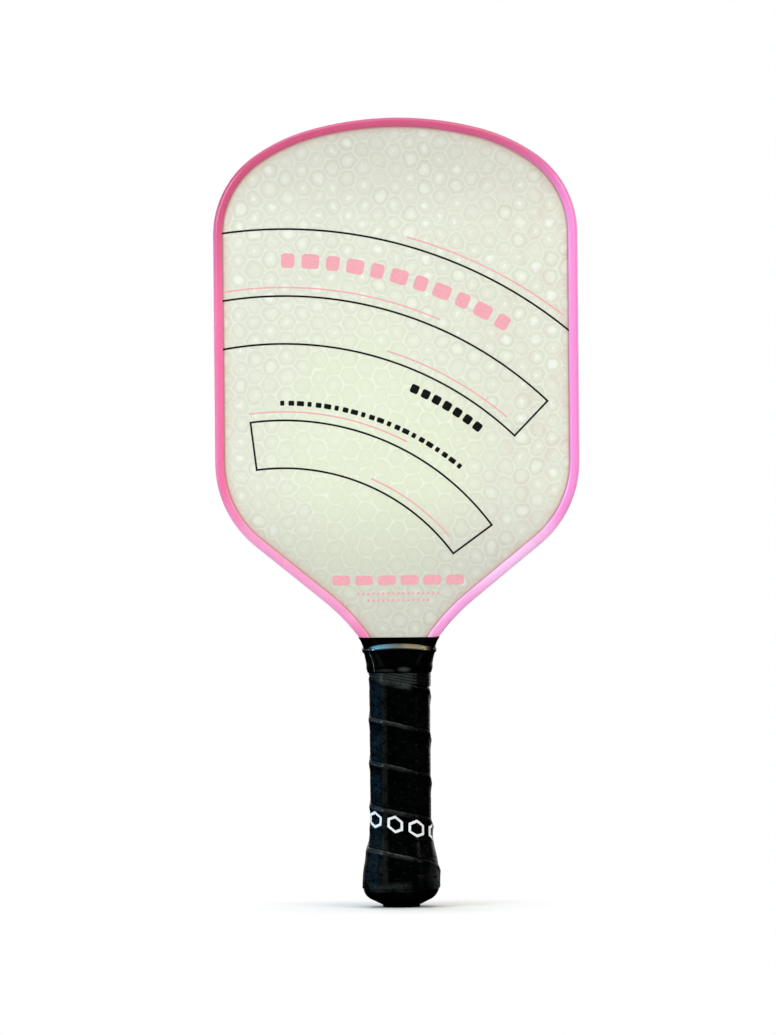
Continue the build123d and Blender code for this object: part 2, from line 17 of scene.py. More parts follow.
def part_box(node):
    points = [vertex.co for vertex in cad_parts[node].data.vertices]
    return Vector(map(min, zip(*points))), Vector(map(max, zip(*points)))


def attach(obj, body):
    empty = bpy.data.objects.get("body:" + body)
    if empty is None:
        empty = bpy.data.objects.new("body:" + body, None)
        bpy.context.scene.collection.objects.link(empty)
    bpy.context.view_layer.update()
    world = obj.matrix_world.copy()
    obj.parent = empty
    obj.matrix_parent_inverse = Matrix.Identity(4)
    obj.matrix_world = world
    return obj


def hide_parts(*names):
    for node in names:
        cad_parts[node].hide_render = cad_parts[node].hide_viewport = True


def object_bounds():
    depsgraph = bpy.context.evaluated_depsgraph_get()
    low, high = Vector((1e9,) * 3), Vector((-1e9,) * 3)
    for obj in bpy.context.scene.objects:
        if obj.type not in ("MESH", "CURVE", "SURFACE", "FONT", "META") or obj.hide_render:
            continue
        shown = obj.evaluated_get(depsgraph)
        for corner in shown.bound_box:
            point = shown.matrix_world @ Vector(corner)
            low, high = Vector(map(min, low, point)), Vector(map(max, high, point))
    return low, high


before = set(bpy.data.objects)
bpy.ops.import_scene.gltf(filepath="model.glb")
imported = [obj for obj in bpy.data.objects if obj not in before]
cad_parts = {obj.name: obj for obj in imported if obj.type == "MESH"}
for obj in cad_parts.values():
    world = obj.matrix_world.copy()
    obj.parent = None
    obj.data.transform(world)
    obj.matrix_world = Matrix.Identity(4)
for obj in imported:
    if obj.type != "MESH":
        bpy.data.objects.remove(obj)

CAD_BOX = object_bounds()
MM = 0.001
print("nodes", len(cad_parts), "box", [tuple(round(v, 4) for v in corner) for corner in CAD_BOX])

# %% [markdown]
# ## Shader maths
#
# A material is a graph of nodes, and sums are hard to read as a graph. So one small class wraps a
# socket and overloads the arithmetic operators. An expression such as `1 - mask * 0.5` then adds its
# Math nodes by itself. Every other node comes from one method, which takes the node's type, its
# settings and the values or links of its sockets.


# %% A socket that can be written in sums
def math_node(operation, swap=False):
    """A method that puts a socket, and what it is combined with, through a Math node."""

    def method(self, *others):
        values = [self, *others]
        if swap:
            values.reverse()
        return self.graph.node("ShaderNodeMath", {"operation": operation}, dict(enumerate(values)))

    return method


class Field:
    """The output of a shader node."""

    def __init__(self, graph, socket):
        self.graph, self.socket = graph, socket

    __add__ = __radd__ = math_node("ADD")
    __mul__ = __rmul__ = math_node("MULTIPLY")
    __sub__ = math_node("SUBTRACT")
    __rsub__ = math_node("SUBTRACT", swap=True)
    __truediv__ = math_node("DIVIDE")
    __mod__ = math_node("FLOORED_MODULO")
    __pow__ = math_node("POWER")
    __abs__ = math_node("ABSOLUTE")
    least = math_node("MINIMUM")
    most = math_node("MAXIMUM")
    below = math_node("LESS_THAN")

    def ramp(self, start, end, low=0.0, high=1.0):
        """A soft step: low up to start, high from end on. With start past end, it falls instead."""
        if start > end:
            start, end, low, high = end, start, high, low
        values = {"Value": self, "From Min": start, "From Max": end, "To Min": low, "To Max": high}
        return self.graph.node("ShaderNodeMapRange", {"interpolation_type": "SMOOTHSTEP"}, values)


print("field with", len([name for name in vars(Field) if callable(getattr(Field, name))]), "methods")


# %% A graph of nodes
class Graph:
    """A node tree that is being filled."""

    def __init__(self, tree):
        self.tree = tree

    def node(self, kind, settings=None, inputs=None, output=0):
        made = self.tree.nodes.new(kind)
        for setting, value in (settings or {}).items():
            setattr(made, setting, value)
        for key, value in (inputs or {}).items():
            self.feed(made.inputs[key], value)
        return Field(self, made.outputs[output])

    def feed(self, socket, value):
        if isinstance(value, Field):
            self.tree.links.new(value.socket, socket)
        else:
            socket.default_value = value

    def place(self, scale=1000.0):
        """The point's own place on the piece, in millimetres."""
        spot = self.node("ShaderNodeTexCoord", output="Object")
        return self.node("ShaderNodeVectorMath", {"operation": "SCALE"}, {0: spot, "Scale": scale})

    def split(self, vector):
        node = self.node("ShaderNodeSeparateXYZ", inputs={0: vector}).socket.node
        return [Field(self, output) for output in node.outputs]

    def join(self, x, y, z):
        return self.node("ShaderNodeCombineXYZ", inputs={0: x, 1: y, 2: z})

    def spread(self):
        """The two numbers that a bent grid keeps as its UV map."""
        return self.split(self.node("ShaderNodeUVMap", {"uv_map": "spread"}))[:2]

    def noise(self, where, scale, detail=3.0, roughness=0.5, colour=False):
        inputs = {"Vector": where, "Scale": scale, "Detail": detail, "Roughness": roughness}
        return self.node("ShaderNodeTexNoise", inputs=inputs, output="Color" if colour else "Fac")

    def mix(self, share, first, second, blend="MIX"):
        """A mix of two colours, each a colour or a field."""
        settings = {"data_type": "RGBA", "blend_type": blend}
        return self.node("ShaderNodeMix", settings, {"Factor": share, "A": first, "B": second}, output=2)

    def bump(self, height, strength, distance):
        inputs = {"Height": height, "Strength": strength, "Distance": distance}
        return self.node("ShaderNodeBump", inputs=inputs)


print("a graph has", ", ".join(name for name in vars(Graph) if name[0] != "_"))


# %% A finish, and paint
class Finish(Graph):
    """A material under construction, with a Principled shader at its end."""

    def __init__(self, name, **constants):
        self.material = bpy.data.materials.new(name)
        self.material.use_nodes = True
        super().__init__(self.material.node_tree)
        self.shader = self.tree.nodes["Principled BSDF"]
        self.drive(**constants)

    def drive(self, **values):
        """Sets the Principled shader's sockets to fields or constants."""
        for socket, value in values.items():
            self.feed(self.shader.inputs[socket.replace("_", " ")], value)

    def done(self, **values):
        """Drives the last sockets, and says how large the graph is."""
        self.drive(**values)
        print(self.material.name, "nodes", len(self.tree.nodes))
        return self


def paint(red, green, blue):
    """A colour given as screen values from 0 to 255, as a shader wants it."""
    linear = []
    for level in (red / 255, green / 255, blue / 255):
        linear.append(level / 12.92 if level <= 0.04045 else ((level + 0.055) / 1.055) ** 2.4)
    return (*linear, 1.0)


print("mid grey is", round(paint(128, 128, 128)[0], 3), "in linear light")

# %% [markdown]
# ## The outline, drawn by spinning
#
# The guard, the faces and the bond tape all follow one outline: a run of arcs and straights from the
# handle to the tip. The list below holds that run. Each stretch is a straight of some length or an arc
# of some radius and turn, and starts where the last one ended, in the same direction. So a profile can
# be carried along it by one operator: spin turns it round an arc's centre, and a spin by no angle with
# a step forwards is a straight. Moving the outline inwards changes only the radii, so the same list
# serves every inset.

# %% The outline's measures
TIP_HEIGHT = CAD_BOX[1].z
HEAD_HALF = CAD_BOX[1].x
PANEL_INSET = HEAD_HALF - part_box("front_face_skin")[1].x
FOOT_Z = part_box("front_face_skin")[0].z
FOOT_X = 15.5 * MM
NECK_START = 125.0 * MM
# radii and straights, and turns in degrees, from the neck up to the crown
NECK_RADIUS, NECK_TURN, NECK_LINE = 17.0 * MM, 18.5, 7.8 * MM
THROAT_RADIUS = 10.9 * MM
WAIST_RADIUS, WAIST_TURN = 106.0 * MM, 14.6
HIP_RADIUS, HIP_TURN = 56.5 * MM, 50.8
CORNER_RADIUS = 50.6 * MM
SHOULDER_RADIUS, SHOULDER_TURN = 94.4 * MM, 19.8
CROWN_TURN = 14.8
CORNER_TURN = 90 - SHOULDER_TURN - CROWN_TURN
print("head", round(2 * HEAD_HALF / MM, 1), "mm wide, panel", round(PANEL_INSET / MM, 2), "mm inside it")

# %% The stretches, and the places where they meet
FLANK, SIDE = 5, 7  # the two straights whose lengths bring the head to its width and height


def walk(start, run):
    """(x, z, heading) at the start and after each stretch. A heading is in degrees from +Z to +X."""
    places = [(*start, 0.0)]
    for length, radius, turn in run:
        x, z, heading = places[-1]
        across = copysign(radius, turn)
        now, then = radians(heading), radians(heading + turn)
        x += length * sin(now) + across * (cos(now) - cos(then))
        z += length * cos(now) + across * (sin(then) - sin(now))
        places.append((x, z, heading + turn))
    return places


def stretches(inset):
    """[length, radius, turn] of each stretch. A turn to the right bends away from the centre line."""
    low, high = radians(CROWN_TURN), radians(CROWN_TURN + SHOULDER_TURN)
    rest = SHOULDER_RADIUS * (sin(high) - sin(low)) + CORNER_RADIUS * (1 - sin(high))
    crown_radius = (HEAD_HALF - rest) / sin(low)
    run = [
        [NECK_START - FOOT_Z, 0, 0],
        [0, NECK_RADIUS + inset, NECK_TURN],
        [NECK_LINE, 0, 0],
        [0, THROAT_RADIUS + inset, HIP_TURN - WAIST_TURN - NECK_TURN],
        [0, WAIST_RADIUS + inset, WAIST_TURN],
        [0, 0, 0],
        [0, HIP_RADIUS - inset, -HIP_TURN],
        [0, 0, 0],
        [0, CORNER_RADIUS - inset, -CORNER_TURN],
        [0, SHOULDER_RADIUS - inset, -SHOULDER_TURN],
        [0, crown_radius - inset, -CROWN_TURN],
    ]
    miss_x = -walk((FOOT_X - inset, FOOT_Z), run)[-1][0]
    run[FLANK][0] = miss_x / sin(radians(HIP_TURN))
    run[SIDE][0] = TIP_HEIGHT - inset - walk((FOOT_X - inset, FOOT_Z), run)[-1][1]
    return run


run = stretches(0)
print("flank_highlight", round(run[FLANK][0] / MM, 2), "mm, side", round(run[SIDE][0] / MM, 2), "mm")


# %% A route that starts at some height
def route(inset, start_z, arc_step=2.0):
    """The place where a straight passes start_z, its heading, and the moves from there to the tip."""
    run = stretches(inset)
    places = walk((FOOT_X - inset, FOOT_Z), run)
    start, moves = None, []
    for (length, radius, turn), (x, z, heading), (_, end_z, _) in zip(run, places, places[1:]):
        if end_z <= start_z and start is None:
            continue
        ahead = Vector((sin(radians(heading)), 0, cos(radians(heading))))
        if start is None:
            start = Vector((x, 0, z)) + ahead * ((start_z - z) / ahead.z)
            start_heading = heading
            length = (end_z - start_z) / ahead.z
        across = copysign(radius, turn)
        centre = Vector((x + across * cos(radians(heading)), 0, z - across * sin(radians(heading))))
        moves.append((centre, radians(turn), max(1, ceil(abs(turn) / arc_step)), ahead * length))
    return start, radians(start_heading), moves


print("the outline passes the grip at x", round(route(0, FOOT_Z + MM)[0].x / MM, 2), "mm")


# %% Carry a loose profile along the route
def carry(bm, geom, moves):
    """Sweeps geom along the moves to the tip, and mirrors the result to the other side."""
    for centre, angle, steps, step in moves:
        swept = bmesh.ops.spin(
            bm, geom=geom, cent=centre, axis=(0, 1, 0), dvec=step, angle=angle, steps=steps,
            use_duplicate=False,
        )
        geom = swept["geom_last"]
    bmesh.ops.mirror(bm, geom=bm.verts[:] + bm.edges[:] + bm.faces[:], axis="X", merge_dist=MM / 1000)
    bmesh.ops.remove_doubles(bm, verts=bm.verts, dist=MM / 1000)


rim = bmesh.new()
first_place, _, rim_moves = route(0, FOOT_Z)
carry(rim, [rim.verts.new(first_place)], rim_moves)
print("one vertex carried round makes", len(rim.verts), "vertices and", len(rim.edges), "edges")
rim.free()


# %% Make a piece of a bmesh
def add_object(name, data):
    made = bpy.data.objects.new(name, data)
    bpy.context.scene.collection.objects.link(made)
    return made


def mesh_object(name, bm, finish):
    """An object made of a bmesh, which is used up."""
    mesh = bpy.data.meshes.new(name)
    bm.to_mesh(mesh)
    bm.free()
    mesh.materials.append(finish.material)
    return add_object(name, mesh)


def make_piece(name, bm, finish, replaced=(), smooth=True):
    """A piece made of a bmesh, which stands for the CAD nodes in replaced."""
    bmesh.ops.recalc_face_normals(bm, faces=bm.faces)
    piece = mesh_object(name, bm, finish)
    for polygon in piece.data.polygons:
        polygon.use_smooth = smooth
    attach(piece, "root")
    if replaced:
        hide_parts(*replaced)
    print(name, len(piece.data.vertices), "vertices", len(piece.data.polygons), "faces")


# %% [markdown]
# ## The faces
#
# The faces are thin fibreglass in clear resin, so what shows is the honeycomb behind them. They could
# be made truly translucent over the modelled core, but light through two bonded layers is slow to
# render and is lost on export. The cells are painted instead, from the distance to the nearest cell
# wall. Two grids of centres, half a cell apart, make a honeycomb: each point belongs to the nearer of
# the two. Walls catch the light and are pale, the resin ring inside each wall is a little darker, and
# the middle of most cells has a pale spot where the film pulled up. A slow noise bends the grid, for
# real cells are never quite even.

# %% The honeycomb
CELL_PITCH = 9.4  # millimetres, as are the places that the finishes read
COLUMN = CELL_PITCH * cos(radians(30))


def nearest_cell(x, z, shift):
    """The hexagon's distance, which is 1 at its walls, and the offsets from its centre, on one grid."""
    dx = (x + COLUMN + shift * COLUMN) % (2 * COLUMN) - COLUMN
    dz = (z + CELL_PITCH / 2 + shift * CELL_PITCH / 2) % CELL_PITCH - CELL_PITCH / 2
    slant = abs(dx) * cos(radians(30)) + abs(dz) * 0.5
    return abs(dz).most(slant) * (2 / CELL_PITCH), dx, dz


def honeycomb(finish, x, z):
    """For the cell that holds a place: the circle's distance from its middle, the distance by a shape
    between circle and hexagon, and three random shares of the cell's own."""
    first, first_dx, first_dz = nearest_cell(x, z, 0)
    second, second_dx, second_dz = nearest_cell(x, z, 1)
    from_first = first.below(second)
    dx = first_dx * from_first + second_dx * (1 - from_first)
    dz = first_dz * from_first + second_dz * (1 - from_first)
    radius = (dx * dx + dz * dz) ** 0.5 * (2 / CELL_PITCH)
    reach = first.least(second) * 0.5 + radius * 0.5
    centre = finish.join(x - dx, from_first, z - dz)
    random = finish.node("ShaderNodeTexWhiteNoise", inputs={"Vector": centre}, output="Color")
    return radius, reach, finish.split(random)


print("columns of cells", round(COLUMN, 2), "mm apart")

# %% Shades of the faces
WALL_PALE = paint(243, 246, 228)
SPOT_PALE = paint(246, 249, 238)
MIDDLE_GREEN = paint(230, 234, 207)
SIDE_GREY = paint(228, 226, 210)
RING_GREY = paint(207, 208, 192)
# painted shadow of the guard on the resin, warm and pink; random blush patches share the tint
GUARD_SHADOW_AND_BLUSH = paint(205, 158, 147)
# painted shade, multiplied into the face at its foot and crown
SHADE = paint(236, 234, 237)
GREEN_X, GREEN_Z = -14, 232  # middle of the green, and its half width and half height
GREEN_WIDE, GREEN_TALL = 66, 92
WARP_SLOW, WARP_QUICK = 5.0, 2.9  # how far two noises bend the grid
print("the green reaches", GREEN_Z - GREEN_TALL, "to", GREEN_Z + GREEN_TALL, "mm up")


# %% Finish of the faces
def face_finish():
    """Satin resin over the honeycomb."""
    finish = Finish("face_fibreglass", Specular_IOR_Level=0.4, Coat_Roughness=0.15)
    place = finish.place()
    slow = finish.split(finish.noise(place, 0.045, detail=1.0, colour=True))
    quick = finish.split(finish.noise(place, 0.16, detail=1.0, colour=True))
    x0, _, z0 = finish.split(place)
    x = x0 + (slow[0] - 0.5) * WARP_SLOW + (quick[0] - 0.5) * WARP_QUICK
    z = z0 + (slow[1] - 0.5) * WARP_SLOW + (quick[1] - 0.5) * WARP_QUICK
    radius, reach, own = honeycomb(finish, x, z)

    # side is 0 in the middle of the green, and 1 away from it
    cloud = finish.noise(place, 0.03, detail=3.0, roughness=0.6)
    ragged = finish.noise(place, 0.6, detail=3.0, roughness=0.6)
    glass = finish.noise(place, 1.6, detail=4.0, roughness=0.7)
    off_x, off_z = (x0 - GREEN_X) / GREEN_WIDE, (z0 - GREEN_Z) / GREEN_TALL
    side = ((off_x * off_x + off_z * off_z) ** 0.5 + (cloud - 0.5) * 0.9).ramp(0.4, 1.15)

    # what shows in each cell, from its wall to its middle
    torn = finish.noise(place, 0.22, detail=2.0).ramp(0.4, 0.6)
    wall = reach.ramp(0.86, 0.97) * (0.2 + torn * 0.8)
    vein = abs(finish.noise(place, 0.3, detail=2.0, roughness=0.6) - 0.5).ramp(0.022, 0.0)
    vein = vein * (0.3 + side * 0.7)
    ring = reach.ramp(0.42, 0.8) * reach.ramp(0.97, 0.84) * (0.12 + side * (0.12 + own[2] * 0.5))
    loop = (abs(radius - 0.5 - (own[1] - 0.5) * 0.3 - (ragged - 0.5) * 0.4)).ramp(0.08, 0.0) * own[2]
    size = 0.1 + side * 0.06 + own[0] ** 3 * 0.34
    spot = (radius + (ragged - 0.5) * 0.9 - size).ramp(0.12, -0.1)
    spot = spot * (0.35 + side * 0.65) * own[1].ramp(0.0, 0.7)
    disc = (radius + (ragged - 0.5) * 0.4).ramp(0.75, 0.3) * side * own[2].ramp(0.7, 0.95)

    # the shades, one over the other
    base = finish.mix(side, MIDDLE_GREEN, SIDE_GREY)
    base = finish.mix(((cloud - 0.5) * 0.6 + (glass - 0.5) * 0.7 + 0.1).most(0.0), base, WALL_PALE)
    base = finish.mix(ring * 0.62, base, RING_GREY)
    base = finish.mix(disc * 0.45 + loop * 0.2 + vein * 0.35, base, WALL_PALE)
    base = finish.mix(spot * 0.75, base, SPOT_PALE)
    base = finish.mix(wall * (0.7 - side * 0.45), base, WALL_PALE)

    # painted shade: the whole face is darker at its foot and crown
    shade = z0.ramp(228.0, 172.0) + z0.ramp(350.0, 400.0) * 0.85
    base = finish.mix(shade, base, SHADE, blend="MULTIPLY")
    # painted shadow: the guard's shade falls warm near the rim, by the from_edge rings; random blush patches
    # warm the right
    depth = finish.node("ShaderNodeAttribute", {"attribute_name": "from_edge"}, output="Fac")
    blush = finish.noise(place, 0.11, detail=3.0).ramp(0.48, 0.66) * x0.ramp(15.0, 85.0)
    warm = depth.ramp(8.0, 3.0) * 0.3 + depth.ramp(4.4, 2.8) * 0.6 + blush * 0.13
    base = finish.mix(warm, base, GUARD_SHADOW_AND_BLUSH)
    height = wall * 0.5 - ring * 0.4 + spot * 0.4 + glass * 0.15
    return finish.done(
        Base_Color=base,
        Roughness=0.36 + ring * 0.06 + (glass - 0.5) * 0.12,
        Coat_Weight=0.2 + spot * 0.2,
        Normal=finish.bump(height, 0.16, 0.0003),
    )


FACE = face_finish()

# %% [markdown]
# A face is one flat sheet. Its rim is a single vertex carried along the outline, mirrored and filled.
# Three insets then give it rings near the rim, which carry the distance from it to the finish: the
# finish paints the guard's shadow there, warm on the resin.

# %% Front and rear faces
RING_WIDTH = 4.0 * MM
RINGS = 3


def thicken(bm, depth):
    """Gives flat faces a thickness along Y."""
    raised = bmesh.ops.extrude_face_region(bm, geom=bm.faces[:], use_keep_orig=True)["geom"]
    verts = [item for item in raised if isinstance(item, bmesh.types.BMVert)]
    bmesh.ops.translate(bm, verts=verts, vec=(0, depth, 0))


def face_sheet(name, node):
    low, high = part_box(node)
    start, _, moves = route(PANEL_INSET, FOOT_Z)
    bm = bmesh.new()
    foot = bm.verts.new((start.x, low.y, start.z))
    carry(bm, [foot], moves)
    feet = sorted(bm.verts, key=lambda vert: vert.co.z)[:2]
    bmesh.ops.contextual_create(bm, geom=feet)
    sheet = bmesh.ops.edgeloop_fill(bm, edges=bm.edges)["faces"]
    from_edge = bm.verts.layers.float.new("from_edge")
    for ring in range(RINGS):
        bmesh.ops.inset_region(bm, faces=sheet, thickness=RING_WIDTH, use_even_offset=True, use_boundary=True)
        for vert in sheet[0].verts:
            vert[from_edge] = (ring + 1) * RING_WIDTH / MM
    thicken(bm, high.y - low.y)
    make_piece(name, bm, FACE, [node], smooth=False)


face_sheet("front_face", "front_face_skin")
face_sheet("rear_face", "rear_face_skin")

# %% [markdown]
# ## The print
#
# The faces carry a screen print: thin black lines with pink ones beside them, and rows of short bars.
# A curve with a bevel would round every line, and a texture would blur them. Each line is instead a
# short edge that is spun round one common centre, and each bar is a square whose corners are bevelled.
# All are flat, so one extrusion gives the ink its thickness, and the rear is the front turned round.

# %% Motifs
FACE_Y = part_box("front_face_skin")[0].y
ARC_CENTRE = Vector((-60 * MM, FACE_Y, 120 * MM))


def on_arc(radius, angle):
    """A place by its distance in millimetres from the arcs' centre and its angle from +X up."""
    return ARC_CENTRE + Vector((cos(radians(angle)), 0, sin(radians(angle)))) * radius * MM


def arc_line(bm, radius, start, end, width):
    verts = [bm.verts.new(on_arc(radius + side * width / 2, start)) for side in (-1, 1)]
    edge = bm.edges.new(verts)
    bmesh.ops.spin(
        bm, geom=[*verts, edge], cent=ARC_CENTRE, axis=(0, 1, 0), angle=radians(start - end),
        steps=ceil((end - start) / 1.5), use_duplicate=False,
    )


def bar(bm, centre, tilt, length, height, corner):
    """A flat bar on the face. A tilt turns it clockwise, in degrees."""
    verts = bmesh.ops.create_grid(bm, x_segments=1, y_segments=1, size=0.5)["verts"]
    size = Matrix.Diagonal((length * MM, height * MM, 1, 1))
    turn = Matrix.Rotation(radians(tilt), 4, "Y") @ Matrix.Rotation(pi / 2, 4, "X")
    bmesh.ops.transform(bm, matrix=Matrix.Translation(centre) @ turn @ size, verts=verts)
    if corner:
        bmesh.ops.bevel(
            bm, geom=verts, offset=corner * MM, segments=4, profile=0.5, affect="VERTICES", material=-1
        )


def bars_on_arc(bm, radius, start, step, lengths, height, corner):
    """Bars side by side on an arc, one for each length, from an angle onwards."""
    for k, length in enumerate(lengths):
        angle = start + step * k
        bar(bm, on_arc(radius, angle), 90 - angle, length, height, corner)


def bars_in_line(bm, z, step, count, length, height, corner):
    """Level bars side by side, centred on the face."""
    for k in range(count):
        place = Vector((step * (k - (count - 1) / 2) * MM, FACE_Y, z * MM))
        bar(bm, place, 0, length, height, corner)


print("all arcs turn round", [round(value / MM, 1) for value in ARC_CENTRE])

# %% Ink
INK_THICKNESS = 0.04 * MM


def ink_finish(name, colour, faded):
    """Screen ink, a little thin where the resin below it is rough."""
    finish = Finish(name, Specular_IOR_Level=0.4)
    place = finish.place()
    thin = finish.noise(place, 1.5, detail=4.0, roughness=0.7)
    return finish.done(
        Base_Color=finish.mix(thin.ramp(0.42, 0.75), paint(*colour), paint(*faded)),
        Roughness=0.38 + (thin - 0.5) * 0.2,
        Normal=finish.bump(thin, 0.12, 0.0002),
    )


def print_ink(name, bm, finish):
    """Gives flat motifs the ink's thickness, and prints them on the rear too."""
    thicken(bm, -INK_THICKNESS)
    copy = bmesh.ops.duplicate(bm, geom=bm.verts[:] + bm.edges[:] + bm.faces[:])["geom"]
    verts = [item for item in copy if isinstance(item, bmesh.types.BMVert)]
    bmesh.ops.rotate(bm, verts=verts, cent=(0, 0, 0), matrix=Matrix.Rotation(pi, 3, "Z"))
    make_piece(name, bm, finish, smooth=False)


print("ink", INK_THICKNESS / MM, "mm thick")

# %% Black print
BLACK_LINE = 1.0
BLACK_ARCS = [(110, 36, 97), (135, 36, 97), (175, 46, 100.5), (200, 46, 99.2), (235, 49.8, 97.8)]
RADIAL_ENDS = [(122.5, 36, 25), (122.5, 97, 25), (187.5, 46, 25)]  # radius, angle, length
DASHES = [2.2 + 0.8 * (k * 5 % 3) for k in range(22)]


def black_print():
    bm = bmesh.new()
    for radius, start, end in BLACK_ARCS:
        arc_line(bm, radius, start, end, BLACK_LINE)
    for radius, angle, length in RADIAL_ENDS:
        bar(bm, on_arc(radius, angle), -angle, length + BLACK_LINE, BLACK_LINE, 0)
    bars_on_arc(bm, 144, 50, 1.9, DASHES, height=2.6, corner=0.5)
    bars_on_arc(bm, 166, 52, 2.2, [4.4] * 7, height=4.6, corner=1.0)
    print_ink("print_black", bm, ink_finish("ink_black", (10, 12, 10), (26, 28, 25)))


black_print()

# %% Pink print
PINK_LINE = 0.7
PINK_ARCS = [(114, 40, 66), (139.5, 62, 97), (179.5, 49, 72), (204.5, 66, 99), (239.5, 52, 74)]
BLOCKS = [7.0 + 2.2 * (k % 2) for k in range(11)]


def pink_print():
    bm = bmesh.new()
    for radius, start, end in PINK_ARCS:
        arc_line(bm, radius, start, end, PINK_LINE)
    bars_on_arc(bm, 218.5, 58, 3.1, BLOCKS, height=7.6, corner=1.8)
    bars_in_line(bm, 171.0, 11.9, 6, length=9.4, height=5.0, corner=1.6)
    bars_in_line(bm, 164.0, 2.6, 17, length=1.3, height=1.3, corner=0.4)
    bars_in_line(bm, 160.4, 2.6, 13, length=1.3, height=1.3, corner=0.4)
    print_ink("print_pink", bm, ink_finish("ink_pink", (244, 164, 176), (246, 190, 194)))


pink_print()

# %% [markdown]
# ## The edge guard
#
# The guard is a U-shaped extrusion with a fat rounded back and two lips that thin towards the face.
# Its section is drawn as a polygon of few corners, and the corners are rounded by a vertex bevel,
# because that keeps the curve even when the section changes. The section is then carried round. The
# finish mixes four shades by place: painted shade darkens the crown to rose, and painted light turns
# the right side lilac and the lower flanks pale.

# %% Guard finish
GUARD_PINK = paint(247, 117, 165)
# painted light: the cool lilac cast on the right
GUARD_LILAC_PAINTED_LIGHT = paint(254, 150, 220)
# painted light: the pale lower flanks and right hip
GUARD_PALE_PAINTED_LIGHT = paint(255, 206, 247)
# painted shade: the darker crown, also used for random mottle
GUARD_ROSE_SHADE_AND_MOTTLE = paint(207, 83, 122)


def guard_finish():
    """Glossy dyed plastic, with a faint mottle and a scuffed back."""
    finish = Finish("guard_pink", Specular_IOR_Level=0.4, Coat_Roughness=0.12)
    place = finish.place()
    x, y, z = finish.split(place)
    mottle = finish.noise(place, 0.05, detail=4.0)
    fine = finish.noise(place, 2.2, detail=3.0, roughness=0.6)
    # painted light: a cool cast turns the pink lilac towards the right
    colour = finish.mix((x + (mottle - 0.5) * 38).ramp(-66.5, 95.0), GUARD_PINK, GUARD_LILAC_PAINTED_LIGHT)
    height = z + (mottle - 0.5) * 30
    # painted light and highlight: the lower flanks pale, most on the right hip
    pale = (height + x * 0.1).ramp(216.0, 186.0) * height.ramp(140.0, 170.0)
    colour = finish.mix(pale * (0.4 + x.ramp(-60.0, 60.0) * 0.55), colour, GUARD_PALE_PAINTED_LIGHT)
    # painted light: more lilac low on the right, towards the throat
    colour = finish.mix(height.ramp(190.0, 150.0) * x.ramp(-5.0, 25.0) * 0.6, colour, GUARD_LILAC_PAINTED_LIGHT)
    # painted light: paler still near the throat, more on the right
    colour = finish.mix(z.ramp(182.0, 152.0) * (0.1 + x.ramp(-10.0, 20.0) * 0.15), colour, GUARD_PALE_PAINTED_LIGHT)
    # painted shade: the crown darkens to rose
    colour = finish.mix((z - x * 0.22).ramp(328.0, 398.0) * 0.9, colour, GUARD_ROSE_SHADE_AND_MOTTLE)
    # random darker mottle in the same rose
    colour = finish.mix(((fine - 0.5) * 0.4).most(0.0), colour, GUARD_ROSE_SHADE_AND_MOTTLE)
    streaks = finish.join(x * 0.2, y * 3, z * 0.2)
    scuff_and_sheen = finish.noise(streaks, 1.0, detail=5.0, roughness=0.7).ramp(0.56, 0.72)
    return finish.done(
        Base_Color=colour,
        Roughness=0.28 + scuff_and_sheen * 0.14 + (mottle - 0.5) * 0.08,
        Coat_Weight=0.3 - scuff_and_sheen * 0.2,
        Normal=finish.bump(fine * 0.4 + mottle, 0.12, 0.0004),
    )


GUARD = guard_finish()

# %% Guard
GUARD_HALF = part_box("edge_guard")[1].y
GUARD_FOOT_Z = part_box("edge_guard")[0].z
GUARD_LIP, GUARD_WEB = 4.8 * MM, 1.5 * MM
LIP_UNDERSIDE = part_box("rear_face_skin")[1].y + 0.1 * MM
LIP_EDGE = 0.7 * MM
LIP_TIP = 0.2 * MM  # how far the lip's top falls towards the face
CROWN_AT, CROWN_SLOPE = 3.0 * MM, 0.95 * MM
BACK_ROUND = 2.6 * MM
BACK_SEGMENTS, LIP_SEGMENTS = 8, 3


def edge_guard():
    start, heading, moves = route(0, GUARD_FOOT_Z, arc_step=1.2)
    out = Vector((cos(heading), 0, -sin(heading)))
    upper = [
        # outwards, along Y, rounding
        (-GUARD_WEB, LIP_UNDERSIDE, 0),
        (-GUARD_LIP, LIP_UNDERSIDE, 0.1 * MM),
        (-GUARD_LIP, LIP_UNDERSIDE + LIP_EDGE, 0.35 * MM),
        (-CROWN_AT - CROWN_SLOPE, GUARD_HALF - LIP_TIP, 0.5 * MM),
        (-CROWN_AT, GUARD_HALF, 0),
        (0, GUARD_HALF, BACK_ROUND),
    ]
    corners = upper + [(x, -y, rounding) for x, y, rounding in reversed(upper)]
    bm = bmesh.new()
    verts = [bm.verts.new(start + out * x + Vector((0, y, 0))) for x, y, _ in corners]
    bm.faces.new(verts)
    for vert, (_, _, rounding) in zip(verts, corners):
        if rounding:
            segments = BACK_SEGMENTS if rounding == BACK_ROUND else LIP_SEGMENTS
            bmesh.ops.bevel(
                bm, geom=[vert], offset=rounding, segments=segments, profile=0.5, affect="VERTICES",
                material=-1,
            )
    bmesh.ops.delete(bm, geom=bm.faces[:], context="FACES_ONLY")
    carry(bm, bm.verts[:] + bm.edges[:], moves)
    bmesh.ops.holes_fill(bm, edges=[edge for edge in bm.edges if edge.is_boundary])
    make_piece("guard", bm, GUARD, ["edge_guard"])


edge_guard()

# %% [markdown]
# ## The handle's ring
#
# Cap, wrap, tape and collar all lie round one rounded octagon. It has eight corners and eight flats, so
# sixteen steps go once round it: at an even step a corner starts, and at an odd one a flat. A place is a
# step and a distance outwards, and the same step on two octagons of different sizes is the same corner.
# From here to the cap, lengths are in millimetres, and each piece is scaled to metres once it is made.


# %% A rounded octagon
STEPS = 16


